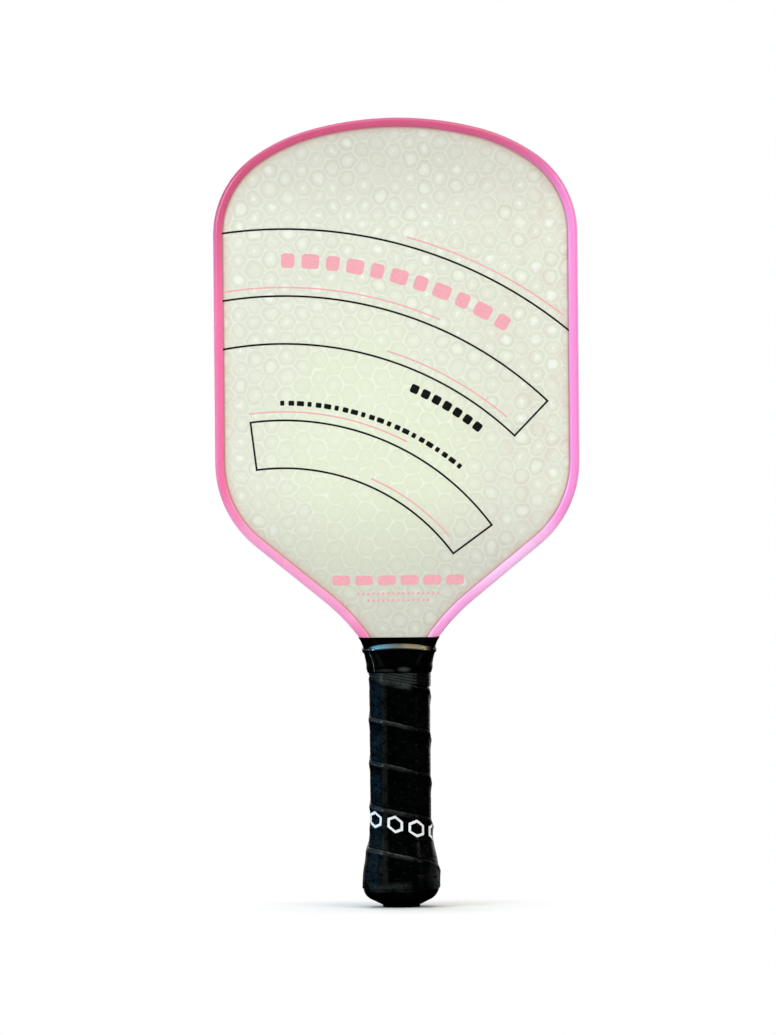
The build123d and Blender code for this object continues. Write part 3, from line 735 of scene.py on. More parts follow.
class Octagon:
    """A rounded octagon round the Z axis, of a half width, a half depth, bevels and a corner radius."""

    def __init__(self, half_x, half_y, bevel_x, bevel_y, radius):
        self.radius, self.corners = radius, []
        lean = atan2(bevel_x, bevel_y)
        for quarter, (x_side, y_side) in enumerate([(1, 1), (-1, 1), (-1, -1), (1, -1)]):
            tips = [(half_x, half_y - bevel_y), (half_x - bevel_x, half_y)]
            first, last = quarter * pi / 2, (quarter + 1) * pi / 2
            between = first + lean
            if quarter % 2:
                tips.reverse()
                between = last - lean
            for (x, y), start, end in ((tips[0], first, between), (tips[1], between, last)):
                middle, back = (start + end) / 2, radius / cos((end - start) / 2)
                centre = Vector((x_side * x - back * cos(middle), y_side * y - back * sin(middle), 0))
                self.corners.append((centre, start, end))

    def corner(self, index, part, out):
        centre, start, end = self.corners[index % len(self.corners)]
        angle = start + (end - start) * part
        return centre + (self.radius + out) * Vector((cos(angle), sin(angle), 0))

    def at(self, step, out):
        """The point at a step round the ring, moved outwards by out."""
        index, part = divmod(step % STEPS, 2)
        index = int(index)
        if part < 1:
            return self.corner(index, part, out)
        return self.corner(index, 1, out).lerp(self.corner(index + 1, 0, out), part - 1)


HANDLE_HALVES = (13.9, 12.85)
BEVELS = (5.8, 4.6)
CORNER = 2.5
HANDLE = Octagon(*HANDLE_HALVES, *BEVELS, CORNER)
print("handle corner", [round(value, 2) for value in HANDLE.at(0, 0)])


# %% A grid that is bent into shape
def bent_grid(columns, rows, place):
    """A grid whose points go where place puts them, given their column and row.

    place returns a point and a pair of numbers, which the piece keeps as its UV map."""
    bm = bmesh.new()
    bmesh.ops.create_grid(bm, x_segments=columns, y_segments=rows, size=0.5)
    layer = bm.loops.layers.uv.new("spread")
    spots = [place((vert.co.x + 0.5) * columns, (vert.co.y + 0.5) * rows) for vert in bm.verts]
    for vert, (point, _) in zip(bm.verts, spots):
        vert.co = point
    bm.verts.index_update()
    for face in bm.faces:
        for loop in face.loops:
            loop[layer].uv = spots[loop.vert.index][1]
    bmesh.ops.remove_doubles(bm, verts=bm.verts, dist=0.001)
    bmesh.ops.holes_fill(bm, edges=[edge for edge in bm.edges if edge.is_boundary])
    bmesh.ops.scale(bm, verts=bm.verts, vec=(MM, MM, MM))
    return bm


flat = bent_grid(2, 1, lambda column, row: (Vector((column, row, 0)), (column, row)))
print("a grid of 2 by 1 has", len(flat.faces), "faces")
flat.free()

# %% [markdown]
# ## The wrap
#
# A cushioned strip is wound up the handle, each turn beside the last. A texture on a plain sleeve would
# miss its ridges, which show on the silhouette. Instead a long grid is bent into a helix: columns run
# along the strip and rows round its section. The strip is soft, so its edges are rounded, its upper
# edge stands proud, and its thickness wanders. Every perforation is a small dent. Black on black hides
# all that, so the finish paints highlights, paler places that masks of place and noise put where the
# strip stands proud.

# %% Measures that shape and finish share
HOLE_STEP, HOLE_ROW = 7.0, 4.1  # along the strip, and between rows of holes
HOLE_RADIUS = 0.62
PITCH = 22.8  # of the helix, which is the strip's width too
ROLL = 2.0  # width of the rolled upper edge
TAPE_LOW, TAPE_TILT = 118.4, 3.1  # the finishing tape's lower edge, and its fall over 15 mm towards +X


def above_tape_edge(x, z):
    """How far a place lies above the lower edge of the finishing tape, for numbers and for fields."""
    return z - TAPE_LOW + x * (TAPE_TILT / 15)


def tape_layer(x, z):
    """The same distance counted in layers of tape, which fan out a little to the right."""
    return above_tape_edge(x, z) / (x * 0.02 + 1.4)


def hole_distances(along, across):
    """Distances to the nearest perforations of two rows, the second moved half a step along."""
    for shift in (0.0, 0.5):
        da = (along + HOLE_STEP * shift) % HOLE_STEP - HOLE_STEP / 2
        dc = (across + HOLE_ROW * (0.5 + 2 * shift)) % (2 * HOLE_ROW) - HOLE_ROW
        yield (da * da + dc * dc) ** 0.5


print("layers of tape 5 mm up:", round(tape_layer(0, TAPE_LOW + 5), 1))


# %% Finish of the wrap
def wrap_finish():
    """Tacky black polyurethane with a fine leather grain and perforations, with painted highlights where it
    stands proud: on its upper edge, below the tape, at the heel of the hand, on the flare's right and on one
    corner."""
    finish = Finish("wrap_black", Specular_IOR_Level=0.06, Coat_Roughness=0.3)
    along, across = finish.spread()
    first, second = hole_distances(along, across)
    hole = first.least(second).ramp(HOLE_RADIUS + 0.1, HOLE_RADIUS - 0.15)
    place = finish.place()
    cells = {"Vector": place, "Scale": 1.7, "Smoothness": 0.6}
    pebble = finish.node("ShaderNodeTexVoronoi", {"feature": "SMOOTH_F1"}, cells, output="Distance")
    fine = finish.noise(place, 3.5, detail=3.0, roughness=0.6)
    wear = finish.noise(place, 0.12, detail=4.0, roughness=0.6)
    x, _, z = finish.split(place)
    scrape = finish.noise(place, 0.3, detail=3.0, roughness=0.6)
    # painted highlight along the strip's proud upper edge, strongest on the left and front
    seam_highlight = across.ramp(PITCH - ROLL - 0.9, PITCH - ROLL + 0.5) * (x + wear * 10).ramp(14.0, 7.0)
    uneven = x + wear * 6
    seam_highlight = seam_highlight * uneven.ramp(-14.0, -6.0, 0.45) * scrape.ramp(0.3, 0.58, 0.25)
    # painted highlights: a grey sheen just below the tape, at the heel of the hand and on the flare's right
    near = above_tape_edge(x, z).ramp(-4.4, -2.6)
    painted_sheen = near * uneven.ramp(10.5, 7.5) * (x + scrape * 4).ramp(-11.0, -6.5)
    heel_highlight = z.ramp(14.5, 11.5) * uneven.ramp(-15.0, -9.0) * (x + scrape * 6).ramp(11.0, 5.0) * 0.5
    flank_highlight = (x + scrape * 4).ramp(16.0, 21.0) * z.ramp(30.0, 20.0) * 0.5
    painted_sheen = painted_sheen.most(heel_highlight).most(flank_highlight) * scrape.ramp(0.3, 0.55, 0.3)
    # painted highlight: a streak down the corner between the left bevel and the front
    ridge = x.ramp(-9.6, -8.6) * x.ramp(-5.8, -6.8) * scrape.ramp(0.3, 0.55, 0.25) * 0.24
    colour = finish.mix(wear.ramp(0.35, 0.75), paint(0, 1, 1), paint(2, 3, 3))
    # the painted highlights, in a paler grey
    colour = finish.mix((seam_highlight * 0.5).most(painted_sheen).most(ridge), colour, paint(44, 49, 48))
    # painted shade: the perforations get a black of their own, as the shade inside them
    colour = finish.mix(hole, colour, paint(1, 1, 2))
    return finish.done(
        Base_Color=colour,
        Roughness=0.14 + wear * 0.08 + scrape.ramp(0.35, 0.65) * 0.22 + fine * 0.06 + hole * 0.3,
        Coat_Weight=seam_highlight * 0.5 + painted_sheen * 0.1,
        Normal=finish.bump(pebble * 0.5 + fine * 0.35 + scrape * 2.5 - hole * 1.5, 0.32, 0.0003),
    )


WRAP = wrap_finish()

# %% The strip's path
SEAM_GAP = 0.03
SEAM_AT = 113.4  # height of the strip's lower edge on the +X side, on the turn that ends the wrap
WRAP_LOW, WRAP_TOP = 9.95, 125.0
TIP_WIDTH = 1.2  # what is left of the strip's width where it is cut off
THIN, THICK = 1.5, 2.2  # at the strip's lower and upper edge
SEAT_GAP = 0.12
CAP_WALL, CAP_FLARE = 0.6, 3.9  # the cap on the handle, and what its flare adds at the foot
FLARE_LOW, FLARE_HEIGHT = 12.0, 28.0
CAP_TOP, CAP_FADE = 41.5, 5.0  # the strip comes down onto the handle over this height
LOWEST = (WRAP_LOW + TIP_WIDTH - PITCH - SEAM_AT) / PITCH  # the tips, in turns from SEAM_AT
HIGHEST = (WRAP_TOP - TIP_WIDTH - SEAM_AT) / PITCH
SIDE_LENGTHS = [(HANDLE.at(k + 0.999, THIN) - HANDLE.at(k, THIN)).length for k in range(STEPS)]
TURN_LENGTH = sum(SIDE_LENGTHS)


def clamp(value, low=0.0, high=1.0):
    return max(low, min(high, value))


def step_at(turn):
    """The step on the ring which a strip that climbs clockwise has reached at some number of turns."""
    travel = (-turn % 1) * TURN_LENGTH + SIDE_LENGTHS[STEPS - 1] / 2
    step = STEPS - 1
    while travel > SIDE_LENGTHS[step % STEPS]:
        travel -= SIDE_LENGTHS[step % STEPS]
        step += 1
    return step + travel / SIDE_LENGTHS[step % STEPS]


def cap_out(z):
    """How far the cap's flare stands out from the handle."""
    share = clamp((z - FLARE_LOW) / FLARE_HEIGHT)
    return CAP_WALL + CAP_FLARE * (1 - share**2) ** 2


def seat_out(z):
    """How far out the strip sits."""
    return cap_out(z) - CAP_WALL * clamp((z - CAP_TOP) / CAP_FADE)


print("the strip has", round(HIGHEST - LOWEST, 2), "turns of", round(TURN_LENGTH, 1), "mm")

# %% Soft steps, noise and rounded edges
def soft(value):
    """A soft step from 0 to 1 while the value goes from 0 to 1."""
    value = clamp(value)
    return value * value * (3 - 2 * value)


def grain(x, y, z, scale):
    """Smooth noise from -1 to 1."""
    return noise.noise(Vector((x, y, z)) * scale)


def edge_drop(depth, radius):
    """How far a rounded edge lies below the surface, at some depth in from it."""
    depth = clamp(depth / radius)
    return radius * (1 - sqrt(1 - (1 - depth) ** 2))


print("half a millimetre in, an edge rounded by 1 mm lies", round(edge_drop(0.5, 1.0), 3), "mm low")

# %% The strip's section
SWELL_FROM, SWELL_OVER = 0.62, 0.28  # shares of the width: the strip gets thicker there
BULGE = 0.15
SQUEEZE = 0.6  # pressed out of the strip by the tape and the collar
PRESS_FROM, PRESS_OVER = -1.9, 1.7  # from below the tape's edge
ROLL_RADIUS = 3.4
TOP_ROUND, FOOT_ROUND = 0.25, 0.3
DENT, DENT_REACH = 0.22, 1.2  # of a perforation: depth, and width in radii
WANDER = 0.6  # of the seams, which are steady at the wrap's two ends
STEADY_FOOT, STEADY_TOP = 14, 118
WAVE, RIPPLE = 0.09, 0.05  # of the thickness: slow along the strip, and quick


def on_strip(turn, across, out=0.0):
    """A point on the strip's outer surface, by turns along it and millimetres up from its lower edge."""
    base = SEAM_AT + turn * PITCH
    low, high = max(WRAP_LOW, base), min(WRAP_TOP, base + PITCH - SEAM_GAP)
    z = clamp(base + across, low, high)
    share = (z - base) / PITCH
    step = step_at(turn)
    thick = THIN + (THICK - THIN) * clamp((share - SWELL_FROM) / SWELL_OVER) ** 2 + BULGE * sin(pi * share)
    thick -= SQUEEZE * soft((above_tape_edge(HANDLE.at(step, 0).x, z) - PRESS_FROM) / PRESS_OVER)
    thick += WAVE * grain(turn * 5.3, z * 0.14, 4.0, 1.0) + RIPPLE * grain(turn * 21, z * 0.4, 9.0, 1.0)
    rolled = clamp(ROLL - (high - z), 0.0, ROLL)
    thick -= ROLL_RADIUS - sqrt(ROLL_RADIUS**2 - rolled**2)
    thick -= edge_drop(high - z, TOP_ROUND) + edge_drop(z - low, FOOT_ROUND)
    for distance in hole_distances(turn * TURN_LENGTH, z - base):
        thick -= DENT * clamp(1.25 - distance / (HOLE_RADIUS * DENT_REACH))
    point = HANDLE.at(step, seat_out(z) + SEAT_GAP + thick + out)
    fade = clamp((z - STEADY_FOOT) / 8) * clamp((STEADY_TOP - z) / 5)
    point.z = z + WANDER * grain(point.x, point.y, z, 0.09) * fade
    return point


print("the strip's middle stands at", [round(value, 1) for value in on_strip(0, PITCH / 2)])

# %% Wrap
STRIP_COLUMNS = 1300
EDGE_SHARES = [0.0, 0.004, 0.01, 0.018, 0.028]
MIDDLE_ROWS = 44


def strip_rows():
    """(share of the strip's width, share of its thickness) round its section, starting inside."""
    middle = [0.04 + 0.92 * k / MIDDLE_ROWS for k in range(MIDDLE_ROWS + 1)]
    outside = EDGE_SHARES + middle + [1 - share for share in reversed(EDGE_SHARES)]
    return [(1.0, 0.0), (0.5, 0.0), (0.0, 0.0)] + [(share, 1.0) for share in outside] + [(1.0, 0.0)]


STRIP_ROWS = strip_rows()


def strip_place(column, row):
    turn = LOWEST + (HIGHEST - LOWEST) * column / STRIP_COLUMNS
    share, height = STRIP_ROWS[round(row)]
    base = SEAM_AT + turn * PITCH
    low, high = max(WRAP_LOW, base), min(WRAP_TOP, base + PITCH - SEAM_GAP)
    z = low + (high - low) * share
    point = on_strip(turn, z - base)
    if not height:
        outer = point.z
        point = HANDLE.at(step_at(turn), seat_out(z) + SEAT_GAP)
        point.z = outer
    return point, (turn * TURN_LENGTH, z - base)


strip = bent_grid(STRIP_COLUMNS, len(STRIP_ROWS) - 1, strip_place)
make_piece("wrap", strip, WRAP, ["grip_wrap"])

# %% [markdown]
# A row of white hexagon outlines is printed on the strip, over its second turn. Each is a six-sided ring,
# divided finely enough to follow the ridges below it, and laid onto the strip by the same function.

# %% Mark on the wrap
MARK_STROKE, MARK_RADIUS, MARK_STEP, MARK_COUNT = 1.3, 4.7, 11.0, 4
MARK_TURN, MARK_ACROSS = -3.78, 15.4
MARK_OUT = 0.05


def wrap_mark():
    bm = bmesh.new()
    for number in range(MARK_COUNT):
        ring = bmesh.ops.create_circle(bm, cap_ends=True, segments=6, radius=MARK_RADIUS)["verts"]
        bmesh.ops.translate(bm, verts=ring, vec=(MARK_STEP * (number - (MARK_COUNT - 1) / 2), 0, 0))
        face = [item for item in bm.faces if ring[0] in item.verts]
        bmesh.ops.inset_region(bm, faces=face, thickness=MARK_STROKE, use_even_offset=True, use_boundary=True)
        bmesh.ops.delete(bm, geom=face, context="FACES")
    bmesh.ops.subdivide_edges(bm, edges=bm.edges[:], cuts=7, use_grid_fill=True)
    bmesh.ops.triangulate(bm, faces=bm.faces)
    for vert in bm.verts:
        vert.co = on_strip(MARK_TURN - vert.co.x / TURN_LENGTH, MARK_ACROSS + vert.co.y, MARK_OUT)
    bmesh.ops.scale(bm, verts=bm.verts, vec=(MM, MM, MM))
    finish = Finish("mark_white", Specular_IOR_Level=0.4)
    speck = finish.noise(finish.place(), 2.5, detail=4.0, roughness=0.7)
    finish.done(
        Base_Color=finish.mix(speck.ramp(0.5, 0.8), paint(238, 240, 242), paint(196, 200, 205)),
        Roughness=0.35 + speck * 0.2,
        Normal=finish.bump(speck, 0.15, 0.0002),
    )
    make_piece("wrap_mark", bm, finish)


wrap_mark()

# %% [markdown]
# ## The blacks of the handle
#
# The tape, the collar, the cap and the band at the throat are vinyl, rubber and moulded plastic, and all
# are black. One even black would look like a hole. So each finish starts from patches of two blacks and
# a grain, and the tape, the collar and the cap then have painted highlights, in paler greys, mixed in at a
# few places. They could be painted on an image, but masks of place and noise have no seams and need no
# unwrapping.

# %% A black that is never quite even
def black_finish(name, dark, light, gloss, rough, grain_scale, bump, **constants):
    """Patches of two blacks, and a fine grain."""
    finish = Finish(name, Specular_IOR_Level=gloss, **constants)
    place = finish.place()
    patch = finish.noise(place, 0.15, detail=4.0, roughness=0.6)
    fine = finish.noise(place, grain_scale, detail=4.0, roughness=0.6)
    finish.drive(
        Base_Color=finish.mix(patch.ramp(0.35, 0.7), paint(*dark), paint(*light)),
        Roughness=rough + (patch - 0.5) * 0.2 + (fine - 0.5) * 0.12,
        Normal=finish.bump(fine, bump, 0.0003),
    )
    return finish


def marked(finish, share, pale, coat):
    """Mixes a paler shade into a finish by share, and adds a coat."""
    socket = finish.shader.inputs["Base Color"]
    plain = Field(finish, socket.links[0].from_socket)
    return finish.done(Base_Color=finish.mix(share, plain, pale), Coat_Weight=coat)


BAND = black_finish("band_black", (1, 1, 1), (4, 4, 4), 0.01, 0.4, 2.6, 0.12).done()


# %% Finishes of tape and cap
def tape_finish():
    """Vinyl tape with a painted highlight where its layers fan out, and painted shade as a dark line under
    each layer's edge.
    """
    finish = black_finish("tape_black", (3, 3, 4), (10, 11, 12), 0.06, 0.3, 2.0, 0.15)
    x, _, z = finish.split(finish.place())
    layer = tape_layer(x, z)
    patch = finish.noise(finish.place(), 0.3, detail=4.0)
    # painted highlight: a grey sheen over the front of the layers
    painted_sheen = (x + patch * 5).ramp(12.0, 8.5) * (x + patch * 4).ramp(-12.0, -7.0)
    # painted shade: the sheen is left out under each layer's edge, as a dark line
    painted_sheen = painted_sheen * (1 - (layer % 1).ramp(0.6, 0.8)) * (0.45 + patch)
    return marked(finish, painted_sheen, paint(48, 54, 52), painted_sheen * 0.15)


def cap_finish():
    """Moulded plastic, with a painted highlight where the heel of the hand rests."""
    finish = black_finish("cap_black", (1, 1, 1), (4, 4, 5), 0.05, 0.3, 3.5, 0.15)
    x, _, z = finish.split(finish.place())
    patch = finish.noise(finish.place(), 0.3, detail=3.0)
    uneven = x + patch * 6
    # painted highlight on the flange's top, at the front
    heel_highlight = z.ramp(7.5, 9.5) * 0.6 * uneven.ramp(-14.0, -8.0) * uneven.ramp(12.0, 6.0)
    heel_highlight = heel_highlight * patch.ramp(0.3, 0.55)
    return marked(finish, heel_highlight, paint(34, 38, 38), heel_highlight * 0.1)


TAPE = tape_finish()
CAP = cap_finish()

# %% Finish of the collar
RUBBER_COAT = {"Coat_IOR": 1.9, "Coat_Roughness": 0.2}
# painted highlight grey
COLLAR_HIGHLIGHT_GREY = paint(76, 81, 76)
# painted reflection on the rolled rim: cool, grey and warm
RIM_REFLECTION_COOL, RIM_REFLECTION_GREY, RIM_REFLECTION_WARM = paint(40, 116, 146), paint(60, 66, 64), paint(116, 96, 56)


def oval_at(x, height, middle, size):
    """Less than 1 inside an oval, given its middle and its half width and half height."""
    wide, tall = (x - middle[0]) / size[0], (height - middle[1]) / size[1]
    return wide * wide + tall * tall


def rubber_finish():
    """Glossy rubber, with painted highlights a little above its lower edge. The rolled rim is polished, and
    has a painted reflection, cool on the left and warm on the right."""
    finish = black_finish("collar_rubber", (1, 1, 1), (3, 3, 4), 0.01, 0.3, 1.2, 0.05, **RUBBER_COAT)
    _, height = finish.spread()
    x, y, _ = finish.split(finish.place())
    patch = finish.noise(finish.place(), 0.3, detail=4.0)
    # painted highlights: a grey oval above the lower edge and a fainter one to its left, on the front only
    scuff_and_sheen = (oval_at(x, height, (2.9, 124.5), (4.0, 1.5)) + patch).ramp(1.7, 0.1) * 0.6
    faint = (oval_at(x, height, (-7.0, 124.0), (6.0, 0.9)) + patch).ramp(1.7, 0.4) * 0.2
    # painted highlight and reflection on the rolled rim, cool on the left and warm on the right
    rim_sheen = height.ramp(135.0, 135.8) * x.ramp(17.5, 13.0) * x.ramp(-16.0, -12.0)
    rim_reflection = finish.mix(x.ramp(-11.0, -1.0), RIM_REFLECTION_COOL, RIM_REFLECTION_GREY)
    rim_reflection = finish.mix(x.ramp(0.0, 5.0), rim_reflection, RIM_REFLECTION_WARM)
    pale = finish.mix(rim_sheen, COLLAR_HIGHLIGHT_GREY, rim_reflection)
    rim = height.ramp(134.5, 135.2) * height.ramp(138.2, 137.4)
    coat = rim * (x.ramp(-16.0, -11.0) * x.ramp(16.0, 12.0) * 0.6 + 0.3)
    return marked(finish, (scuff_and_sheen.most(faint) * y.below(0.0)).most(rim_sheen), pale, coat)


RUBBER = rubber_finish()

# %% [markdown]
# ## The finishing tape
#
# Vinyl tape ends the wrap. It was pulled tight at a slant, so its layers fan out as small ridges, and its
# lower edge falls towards +X. A bump would show the ridges but not the edge against the wrap, so a grid
# is bent round the octagon, and steps outwards at the edge of each layer.

# %% Finishing tape
RING_COLUMNS = STEPS * 14
TAPE_INSIDE, TAPE_TOP = 1.82, 126.5
TAPE_SHEET, TAPE_RIDGE = 0.12, 0.26
TAPE_ROWS = 48
TAPE_EDGE = 30  # share of the tape's height, as one part in so many, in which its edge thins out


def tape_place(column, row):
    step = STEPS * column / RING_COLUMNS
    x = HANDLE.at(step, TAPE_INSIDE).x
    low = TAPE_LOW - TAPE_TILT * x / 15 + 0.2 * grain(x, step, 3.0, 0.4)
    if row > TAPE_ROWS:
        point = HANDLE.at(step, TAPE_INSIDE)
        point.z = TAPE_TOP if row < TAPE_ROWS + 2 else low
        return point, (step, point.z)
    share = row / TAPE_ROWS
    z = low + (TAPE_TOP - low) * share
    ridge = (1 - tape_layer(x, z) % 1) ** 1.5 if row else 0
    edge = clamp(min(share, 1 - share) * TAPE_EDGE, 0.2)
    fold = 0.06 * grain(step * 2, z, 1.0, 0.8)
    point = HANDLE.at(step, TAPE_INSIDE + edge * (TAPE_SHEET + TAPE_RIDGE * ridge + fold))
    point.z = z
    return point, (step, z)


layers = bent_grid(RING_COLUMNS, TAPE_ROWS + 3, tape_place)
make_piece("tape", layers, TAPE, ["finishing_tape"])

# %% [markdown]
# ## The collar
#
# Over the upper half of the tape sits a rubber sleeve with a rolled rim, which is arched over each face.
# It is stretched from the octagon up to the flat neck, and one octagon made larger or smaller wouldn't
# follow that. So each height has an octagon of its own, a mix of the two, and a table gives the rubber's
# thickness from row to row. The band of tape above the collar is the packed solid itself.

# %% The collar's bore
COLLAR_LOW, COLLAR_TOP, COLLAR_ARCH = 122.6, 138.0, 2.0
LOW_OUT, HIGH_OUT = 2.22, 0.55
NECK_HALVES = (route(0, COLLAR_TOP * MM)[0].x / MM + HIGH_OUT, GUARD_HALF / MM + HIGH_OUT)
SNUG = 2 - sqrt(2)  # how much a bevel grows while its octagon's flats move out by 1
SOFT_CORNERS = (9.0, 5.0)  # radius at the collar's foot and at its rim
RINGS_PER_MM = 10


def collar_ring(z):
    """The collar's bore at a height: the handle's octagon below the tape's top, and then flatter."""
    share = clamp((z - TAPE_TOP) / (COLLAR_TOP - TAPE_TOP)) ** 1.3
    radius = SOFT_CORNERS[0] + (SOFT_CORNERS[1] - SOFT_CORNERS[0]) * share
    bevels = [(b + SNUG * LOW_OUT) * (1 - share) + 1.05 * SNUG * radius * share for b in BEVELS]
    halves = [(low + LOW_OUT) * (1 - share) + high * share for low, high in zip(HANDLE_HALVES, NECK_HALVES)]
    return Octagon(*halves, *bevels, radius)


COLLAR_RINGS = [collar_ring(COLLAR_LOW + k / RINGS_PER_MM) for k in range(156)]


def collar_point(step, height, out):
    """A point on the collar. Its heights are those at the middle of a face, and sag towards the sides."""
    x = COLLAR_RINGS[round((height - COLLAR_LOW) * RINGS_PER_MM)].at(step, out).x
    sag = (x / NECK_HALVES[0]) ** 2 * COLLAR_ARCH
    z = height - sag * clamp((height - COLLAR_LOW) / (COLLAR_TOP - COLLAR_LOW))
    index = (z - COLLAR_LOW) * RINGS_PER_MM
    low = int(clamp(index, 0, len(COLLAR_RINGS) - 2))
    point = COLLAR_RINGS[low].at(step, out).lerp(COLLAR_RINGS[low + 1].at(step, out), clamp(index - low))
    point.z = z
    return point


print("the collar's rim reaches x", round(collar_point(0, COLLAR_TOP, 0).x, 2), "mm")

# %% Collar
COLLAR_ROWS = [
    # height, thickness
    (122.6, 0.05), (122.62, 0.3), (122.8, 0.5), (123.4, 0.62), (124.4, 0.86), (125.4, 1.08), (126.3, 1.14),
    (127.4, 1.06), (128.8, 0.98), (130.4, 0.92), (132.0, 0.86), (133.0, 0.8), (133.7, 0.78), (134.1, 0.84),
    (134.5, 1.02), (134.9, 1.24), (135.3, 1.34), (135.9, 1.32), (136.6, 1.14), (137.3, 0.78), (137.85, 0.3),
    (137.85, 0.06), (137.5, 0.0), (133.0, 0.0), (126.5, 0.0), (122.7, 0.0), (122.6, 0.05),
]
COLLAR_CUTS = 3  # rows of the grid for each row of the table
SKIN = 0.3  # thinner rows are the collar's edges and bore, and stay smooth
LOOSE_TOP = 134.0  # below it the rubber is loose enough to crease
CREASE = 0.1
ROUGH_RADIUS = 10.0  # of the circle on which the rubber's noise is read


def between(rows, row):
    """What lies at a row of a table whose rows are tuples of numbers."""
    low = min(int(row + 1e-6), len(rows) - 2)
    return [a + (b - a) * (row - low) for a, b in zip(rows[low], rows[low + 1])]


def collar_place(column, row):
    step = STEPS * column / RING_COLUMNS
    height, thick = between(COLLAR_ROWS, row / COLLAR_CUTS)
    if thick > SKIN:
        turn = 2 * pi * column / RING_COLUMNS
        around, side = ROUGH_RADIUS * cos(turn), ROUGH_RADIUS * sin(turn)
        loose = clamp((LOOSE_TOP - height) / 4) * clamp((height - COLLAR_LOW) / 1.5)
        crease = 1 - abs(grain(around, side, height * 0.8 + around * 0.3, 0.22))
        thick += loose * (CREASE * crease**4 - 0.04 + 0.06 * grain(around, side, height * 0.5, 0.25))
        thick += 0.03 * grain(around, side, height * 0.4, 0.4)
    return collar_point(step, height, thick), (step, height)


sleeve = bent_grid(RING_COLUMNS, (len(COLLAR_ROWS) - 1) * COLLAR_CUTS, collar_place)
make_piece("collar", sleeve, RUBBER, ["grip_collar"])

# %% [markdown]
# The collar's mould leaves a thin ragged line of flash down the left of the front, paler than the
# rubber. A narrow grid, laid on the collar with noise in its path, gives that line its own thickness.

# %% Flash on the collar
FLASH_STEP, FLASH_WIDTH = 9.62, 0.055  # in steps round the ring
FLASH_CUTS, FLASH_ROWS = 60, 4
FLASH_FOOT, FLASH_TOP = COLLAR_LOW + 0.6, COLLAR_TOP - 1.4
FLASH_OUT, FLASH_LEAST, FLASH_RIDGE = 1.0, 1.06, 0.16


def flash_place(column, row):
    height = FLASH_FOOT + (FLASH_TOP - FLASH_FOOT) * column / FLASH_CUTS
    middle = FLASH_STEP + 0.14 * grain(height, 2.0, 0, 0.35) + 0.05 * grain(height, 7.0, 0, 1.6)
    side = 2 * row / FLASH_ROWS - 1
    width = FLASH_WIDTH * (1 + 0.5 * grain(height, 5.0, 0, 0.9))
    out = FLASH_OUT + 0.3 * clamp((height - 124) / 2) * clamp((LOOSE_TOP - height) / 3)
    out = max(out + FLASH_RIDGE * (1 - side * side), FLASH_LEAST)
    return collar_point(middle + side * width, height, out), (column, row)


def collar_flash():
    finish = Finish("flash", Specular_IOR_Level=0.5)
    shade = finish.noise(finish.place(), 0.9, detail=3.0)
    finish.done(
        Base_Color=finish.mix(shade.ramp(0.35, 0.65), paint(70, 68, 52), paint(158, 150, 112)),
        Roughness=0.35 + shade * 0.2,
        Normal=finish.bump(shade, 0.2, 0.0003),
    )
    make_piece("collar_flash", bent_grid(FLASH_CUTS, FLASH_ROWS, flash_place), finish)


collar_flash()

# %% [markdown]
# ## The butt cap
#
# The cap is a moulding: a flat octagonal end, a chamfer, a flange as wide as the wrap above it, and a
# flared seat inside the wrap. A spun profile would make it round, so the bent grid serves here too. A
# table lists its rows from the middle of the end, over the outside and down the bore to the middle of
# the floor. Each row has a height, a distance outwards, and its share between the small octagon of the
# end and the handle's own.

# %% Butt cap
CAP_END = Octagon(9.6, 8.4, 4.6, 4.6, 1.2)
CAP_SIDE = [
    # height, outwards, share of the handle's octagon
    (0.0, -7.0, 0.0), (0.0, -1.0, 0.0), (0.0, -0.4, 0.0), (0.08, -0.12, 0.0), (0.3, 0.0, 0.0),
    (1.0, 0.0, 0.0), (1.3, 0.03, 0.02), (2.2, 0.65, 0.28), (3.2, 1.35, 0.57), (4.1, 1.95, 0.84),
    (4.7, 2.38, 1.0), (5.2, 3.0, 1.0), (5.8, 3.72, 1.0), (6.5, 4.35, 1.0), (7.4, 4.93, 1.0), (8.2, 5.28, 1.0),
    (8.9, 5.5, 1.0), (9.4, 5.62, 1.0), (9.7, 5.6, 1.0), (9.8, 5.35, 1.0), (9.8, cap_out(9.8), 1.0),
]
SEAT_HEIGHTS = [FLARE_LOW + FLARE_HEIGHT * k / 8 for k in range(9)]
CAP_SEAT = [(z, cap_out(z), 1.0) for z in SEAT_HEIGHTS]
CAP_FLOOR, BORE_OUT = 4.6, 0.15
CAP_BORE = [(z, BORE_OUT, 1.0) for z in (FLARE_LOW + FLARE_HEIGHT, 22.0, CAP_FLOOR)]
CAP_BORE.append((CAP_FLOOR, -6.0, 1.0))
CAP_ROWS = CAP_SIDE + CAP_SEAT + CAP_BORE


def cap_place(column, row):
    step = STEPS * column / RING_COLUMNS
    z, out, share = CAP_ROWS[clamp(round(row) - 1, 0, len(CAP_ROWS) - 1)]
    point = CAP_END.at(step, out).lerp(HANDLE.at(step, out), share)
    if round(row) in (0, len(CAP_ROWS) + 1):
        point = Vector()
    point.z = z
    return point, (step, row)


cup = bent_grid(RING_COLUMNS, len(CAP_ROWS) + 1, cap_place)
make_piece("cap", cup, CAP, ["butt_cap"])

# %% [markdown]
# ## Inside the paddle
#
# The core, films, tape, pallets, glue and staples are the packed solids themselves, for their shape is
# right and little of them shows. Each still gets a finish of its own, because a part may be opened up
# or cut through: foam has pores, polypropylene is milky, and galvanised wire is streaked.

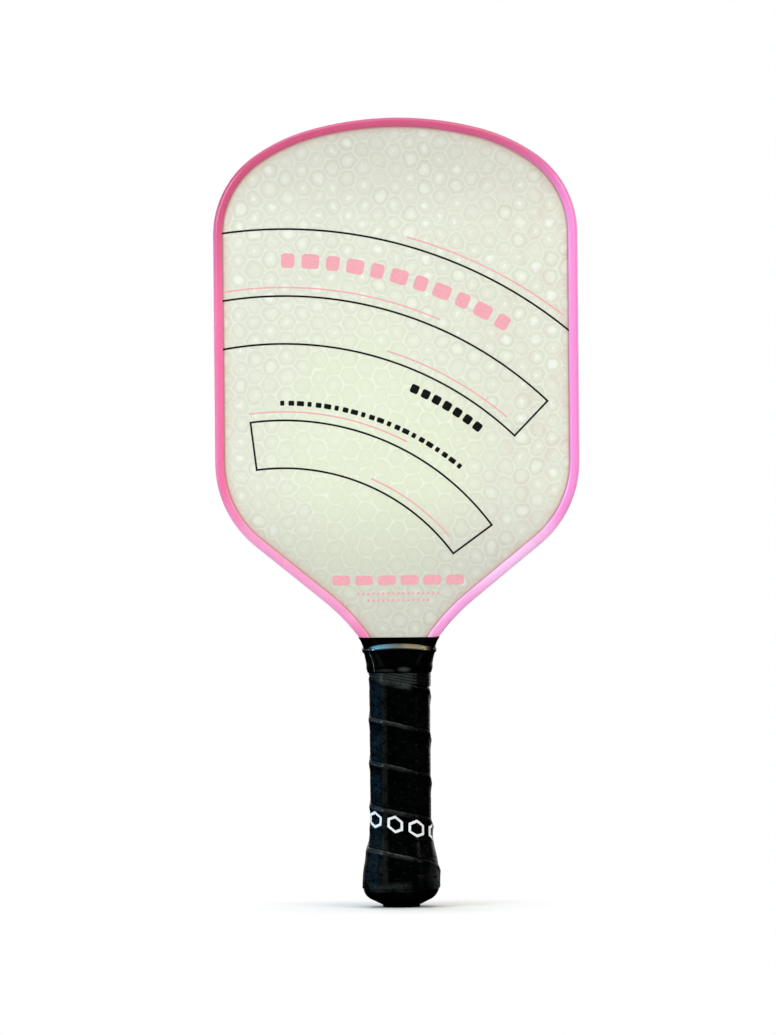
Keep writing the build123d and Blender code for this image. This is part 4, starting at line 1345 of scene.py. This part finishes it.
# %% Finishes of the inner parts
def inner_finish(name, low, high, scale, rough, bump, along=1.0, **constants):
    """An uneven finish between two colours. With along above 1, its patches are flat along Z."""
    finish = Finish(name, **constants)
    x, y, z = finish.split(finish.place())
    patch = finish.noise(finish.join(x, y, z * along), scale, detail=4.0, roughness=0.6)
    return finish.done(
        Base_Color=finish.mix(patch.ramp(0.3, 0.7), paint(*low), paint(*high)),
        Roughness=rough + (patch - 0.5) * 0.2,
        Normal=finish.bump(patch, bump, 0.0003),
    )


CORE = inner_finish("core_polypropylene", (226, 230, 214), (240, 242, 230), 0.3, 0.45, 0.1)
FILM = inner_finish("bond_film", (226, 228, 212), (238, 240, 228), 0.5, 0.3, 0.1)
EDGE_TAPE = inner_finish("adhesive_tape", (222, 222, 214), (236, 236, 230), 0.4, 0.4, 0.1)
GLUE = inner_finish("adhesive", (206, 198, 168), (224, 216, 190), 0.4, 0.35, 0.3)
FOAM = inner_finish("pallet_foam", (206, 190, 150), (226, 212, 176), 1.6, 0.8, 0.6)
STEEL = inner_finish("staple_steel", (196, 198, 202), (220, 222, 226), 1.2, 0.32, 0.1, 9.0, Metallic=1.0)

# %% Dress the solids
INSIDE = {
    "honeycomb_core": CORE,
    "front_bond_film": FILM,
    "rear_bond_film": FILM,
    "edge_bond_tape": EDGE_TAPE,
    "front_pallet_bond": GLUE,
    "rear_pallet_bond": GLUE,
    "front_handle_pallet": FOAM,
    "rear_handle_pallet": FOAM,
    "butt_cap_staples": STEEL,
    "throat_band": BAND,
}
for name, finish in INSIDE.items():
    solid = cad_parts[name]
    if not solid.material_slots:
        solid.data.materials.append(finish.material)
    for slot in solid.material_slots:
        slot.material = finish.material
print("finished", len(INSIDE), "solids")

# %% [markdown]
# ## Studio
#
# The paddle stands on a plain pale floor between soft lamps. Near the paddle the floor is ordinary
# matt paper and takes its shadow. Further out it fades into a white glow, which only camera, mirror
# and glass rays see, and the sky is the same white for them, so no horizon shows. Dark cards round the
# paddle, a usual trick for glossy black, are what the handle mirrors. The camera doesn't see them, and two
# of them, above and below, are seen by mirrors alone. Small lamps then draw the handle's highlights: the
# collar's rim mirrors two strips overhead, a cool one and a warm one, and the left bevel a low blue lamp.

# %% Finishes of floor and cards
GLOW_FROM, GLOW_TO = 0.015, 0.1  # metres from the paddle's axis
WHITE = (1.0, 1.0, 1.0, 1.0)


def seen_directly(graph):
    """1 for rays of the camera, mirrors and glass."""
    path = graph.node("ShaderNodeLightPath").socket.node
    camera, mirror, glass = [
        Field(graph, path.outputs[f"Is {kind} Ray"]) for kind in ("Camera", "Glossy", "Transmission")
    ]
    return camera.most(mirror).most(glass)


def paper_finish():
    finish = Finish("floor_paper", Roughness=0.9, Specular_IOR_Level=0.1)
    x, y, _ = finish.split(finish.place(1.0))
    far = (x * x + y * y) ** 0.5
    glow = far.ramp(GLOW_FROM, GLOW_TO) * seen_directly(finish)
    fibre = finish.noise(finish.place(), 0.3, detail=4.0)
    white = finish.node("ShaderNodeEmission", inputs={"Color": WHITE, "Strength": 1.0})
    paper = Field(finish, finish.shader.outputs[0])
    both = finish.node("ShaderNodeMixShader", inputs={0: glow, 1: paper, 2: white})
    finish.feed(finish.tree.nodes["Material Output"].inputs["Surface"], both)
    return finish.done(Base_Color=finish.mix(fibre, paint(238, 238, 237), paint(246, 246, 245)))


def card_finish():
    finish = Finish("card_black", Roughness=0.9, Specular_IOR_Level=0.0)
    fibre = finish.noise(finish.place(), 0.3)
    return finish.done(Base_Color=finish.mix(fibre, paint(10, 10, 10), paint(16, 16, 16)))


PAPER = paper_finish()
CARD = card_finish()

# %% Sky
SKY_LIGHT = 0.75  # of the white that the camera sees


def studio_sky():
    world = bpy.data.worlds.new("studio")
    bpy.context.scene.world = world
    world.use_nodes = True
    sky = Graph(world.node_tree)
    inputs = sky.tree.nodes["Background"].inputs
    sky.feed(inputs["Color"], WHITE)
    sky.feed(inputs["Strength"], seen_directly(sky) * (1 - SKY_LIGHT) + SKY_LIGHT)
    print("the sky lights the paddle with", SKY_LIGHT, "of the white that it shows")


studio_sky()

# %% Floor and cards
FLOOR_SIZE = 12.0
CARDS = {  # size, place and turns
    "front": ((5.0, 3.4), (0, -3.2, 1.2), (90, 0, 0)),
    "left": ((4.4, 3.4), (-2.5, -1.0, 1.2), (90, 0, 90)),
    "right": ((4.4, 3.4), (2.5, -1.0, 1.2), (90, 0, 90)),
    "upper": ((7.0, 3.6), (0, -3.2, 4.7), (90, 0, 0)),
    "lower": ((6.0, 6.0), (0, -1.0, 0.0004), (0, 0, 0)),
}
ONLY_MIRRORED = ("upper", "lower")  # these take no light from the paddle and cast no shadow


def stage_sheet(name, size, matrix, finish):
    bm = bmesh.new()
    bmesh.ops.create_grid(bm, x_segments=1, y_segments=1, size=0.5)
    bmesh.ops.transform(bm, matrix=matrix @ Matrix.Diagonal((*size, 1, 1)), verts=bm.verts)
    sheet = mesh_object(name, bm, finish)
    return sheet


stage_sheet("floor", (FLOOR_SIZE, FLOOR_SIZE), Matrix.Identity(4), PAPER)
for side, (size, place, turns) in CARDS.items():
    turned = Euler([radians(turn) for turn in turns]).to_matrix().to_4x4()
    card = stage_sheet(f"card_{side}", size, Matrix.Translation(place) @ turned, CARD)
    card.visible_camera = False
    card.visible_diffuse = card.visible_shadow = side not in ONLY_MIRRORED
print("floor and", len(CARDS), "cards")

# %% Lamps
MIDDLE = (0, 0, TIP_HEIGHT / 2)


def lamp(name, place, size, power, colour):
    """A soft rectangular lamp that faces the middle of the paddle."""
    data = bpy.data.lights.new(name, "AREA")
    data.shape = "RECTANGLE"
    data.size, data.size_y = size
    data.energy = power
    data.color = colour
    made = add_object(name, data)
    made.location = place
    made.rotation_mode = "QUATERNION"
    made.rotation_quaternion = (Vector(MIDDLE) - Vector(place)).to_track_quat("-Z", "Y")
    print(name, "lamp at", place)


lamp("key", (-1.3, -1.3, 0.9), (0.5, 0.9), 14.9, (0.96, 0.98, 1.0))
lamp("fill", (1.4, -1.2, 1.0), (0.5, 0.9), 14.4, (1.0, 0.98, 0.95))
lamp("strip_cool", (-0.6, -0.5, 2.2), (1.2, 0.6), 8, (0.3, 0.8, 1.0))
lamp("strip_warm", (0.6, -0.5, 2.2), (1.2, 0.6), 8, (1.0, 0.8, 0.45))
lamp("edge", (-1.7, -0.15, 0.3), (0.16, 1.2), 6, (0.38, 0.72, 1.0))
lamp("handle", (-1.66, -0.37, 0.09), (0.3, 0.34), 4, (0.0, 0.42, 1.0))
lamp("rear", (-0.6, 1.6, 1.2), (1.0, 1.0), 8, (1.0, 1.0, 1.0))

# %% [markdown]
# ## Camera
#
# The view is level and almost straight on, turned a little so that one side of the guard shows. The
# lens follows from the distance and the height that the picture covers at the paddle, and a small roll
# leans the paddle.

# %% Camera
FRAME_WIDTH, FRAME_HEIGHT = 776, 1035
PIXEL = 0.5235 * MM  # at the paddle's middle plane
BUTT_COLUMN, BUTT_ROW = 401.7, 906.6
LEAN, TURNED, DISTANCE = -0.53, 2.2, 4.0

camera_data = bpy.data.cameras.new("camera")
camera = add_object("camera", camera_data)
bpy.context.scene.camera = camera
camera_data.sensor_width = 36.0
camera_data.lens = camera_data.sensor_width * DISTANCE / (FRAME_HEIGHT * PIXEL)
rise = (BUTT_ROW - FRAME_HEIGHT / 2) * PIXEL
shift = (FRAME_WIDTH / 2 - BUTT_COLUMN) * PIXEL
back = Vector((sin(radians(TURNED)), -cos(radians(TURNED)), 0))
roll = Matrix.Rotation(radians(LEAN), 3, back)
target = roll @ Vector((shift, 0, rise))
camera.location = target + back * DISTANCE
camera.rotation_mode = "QUATERNION"
camera.rotation_quaternion = roll.to_quaternion() @ (-back).to_track_quat("-Z", "Y")
bpy.context.scene.view_settings.view_transform = "Standard"
print("lens", round(camera_data.lens, 1), "mm, target", tuple(round(value, 4) for value in target))

# %% [markdown]
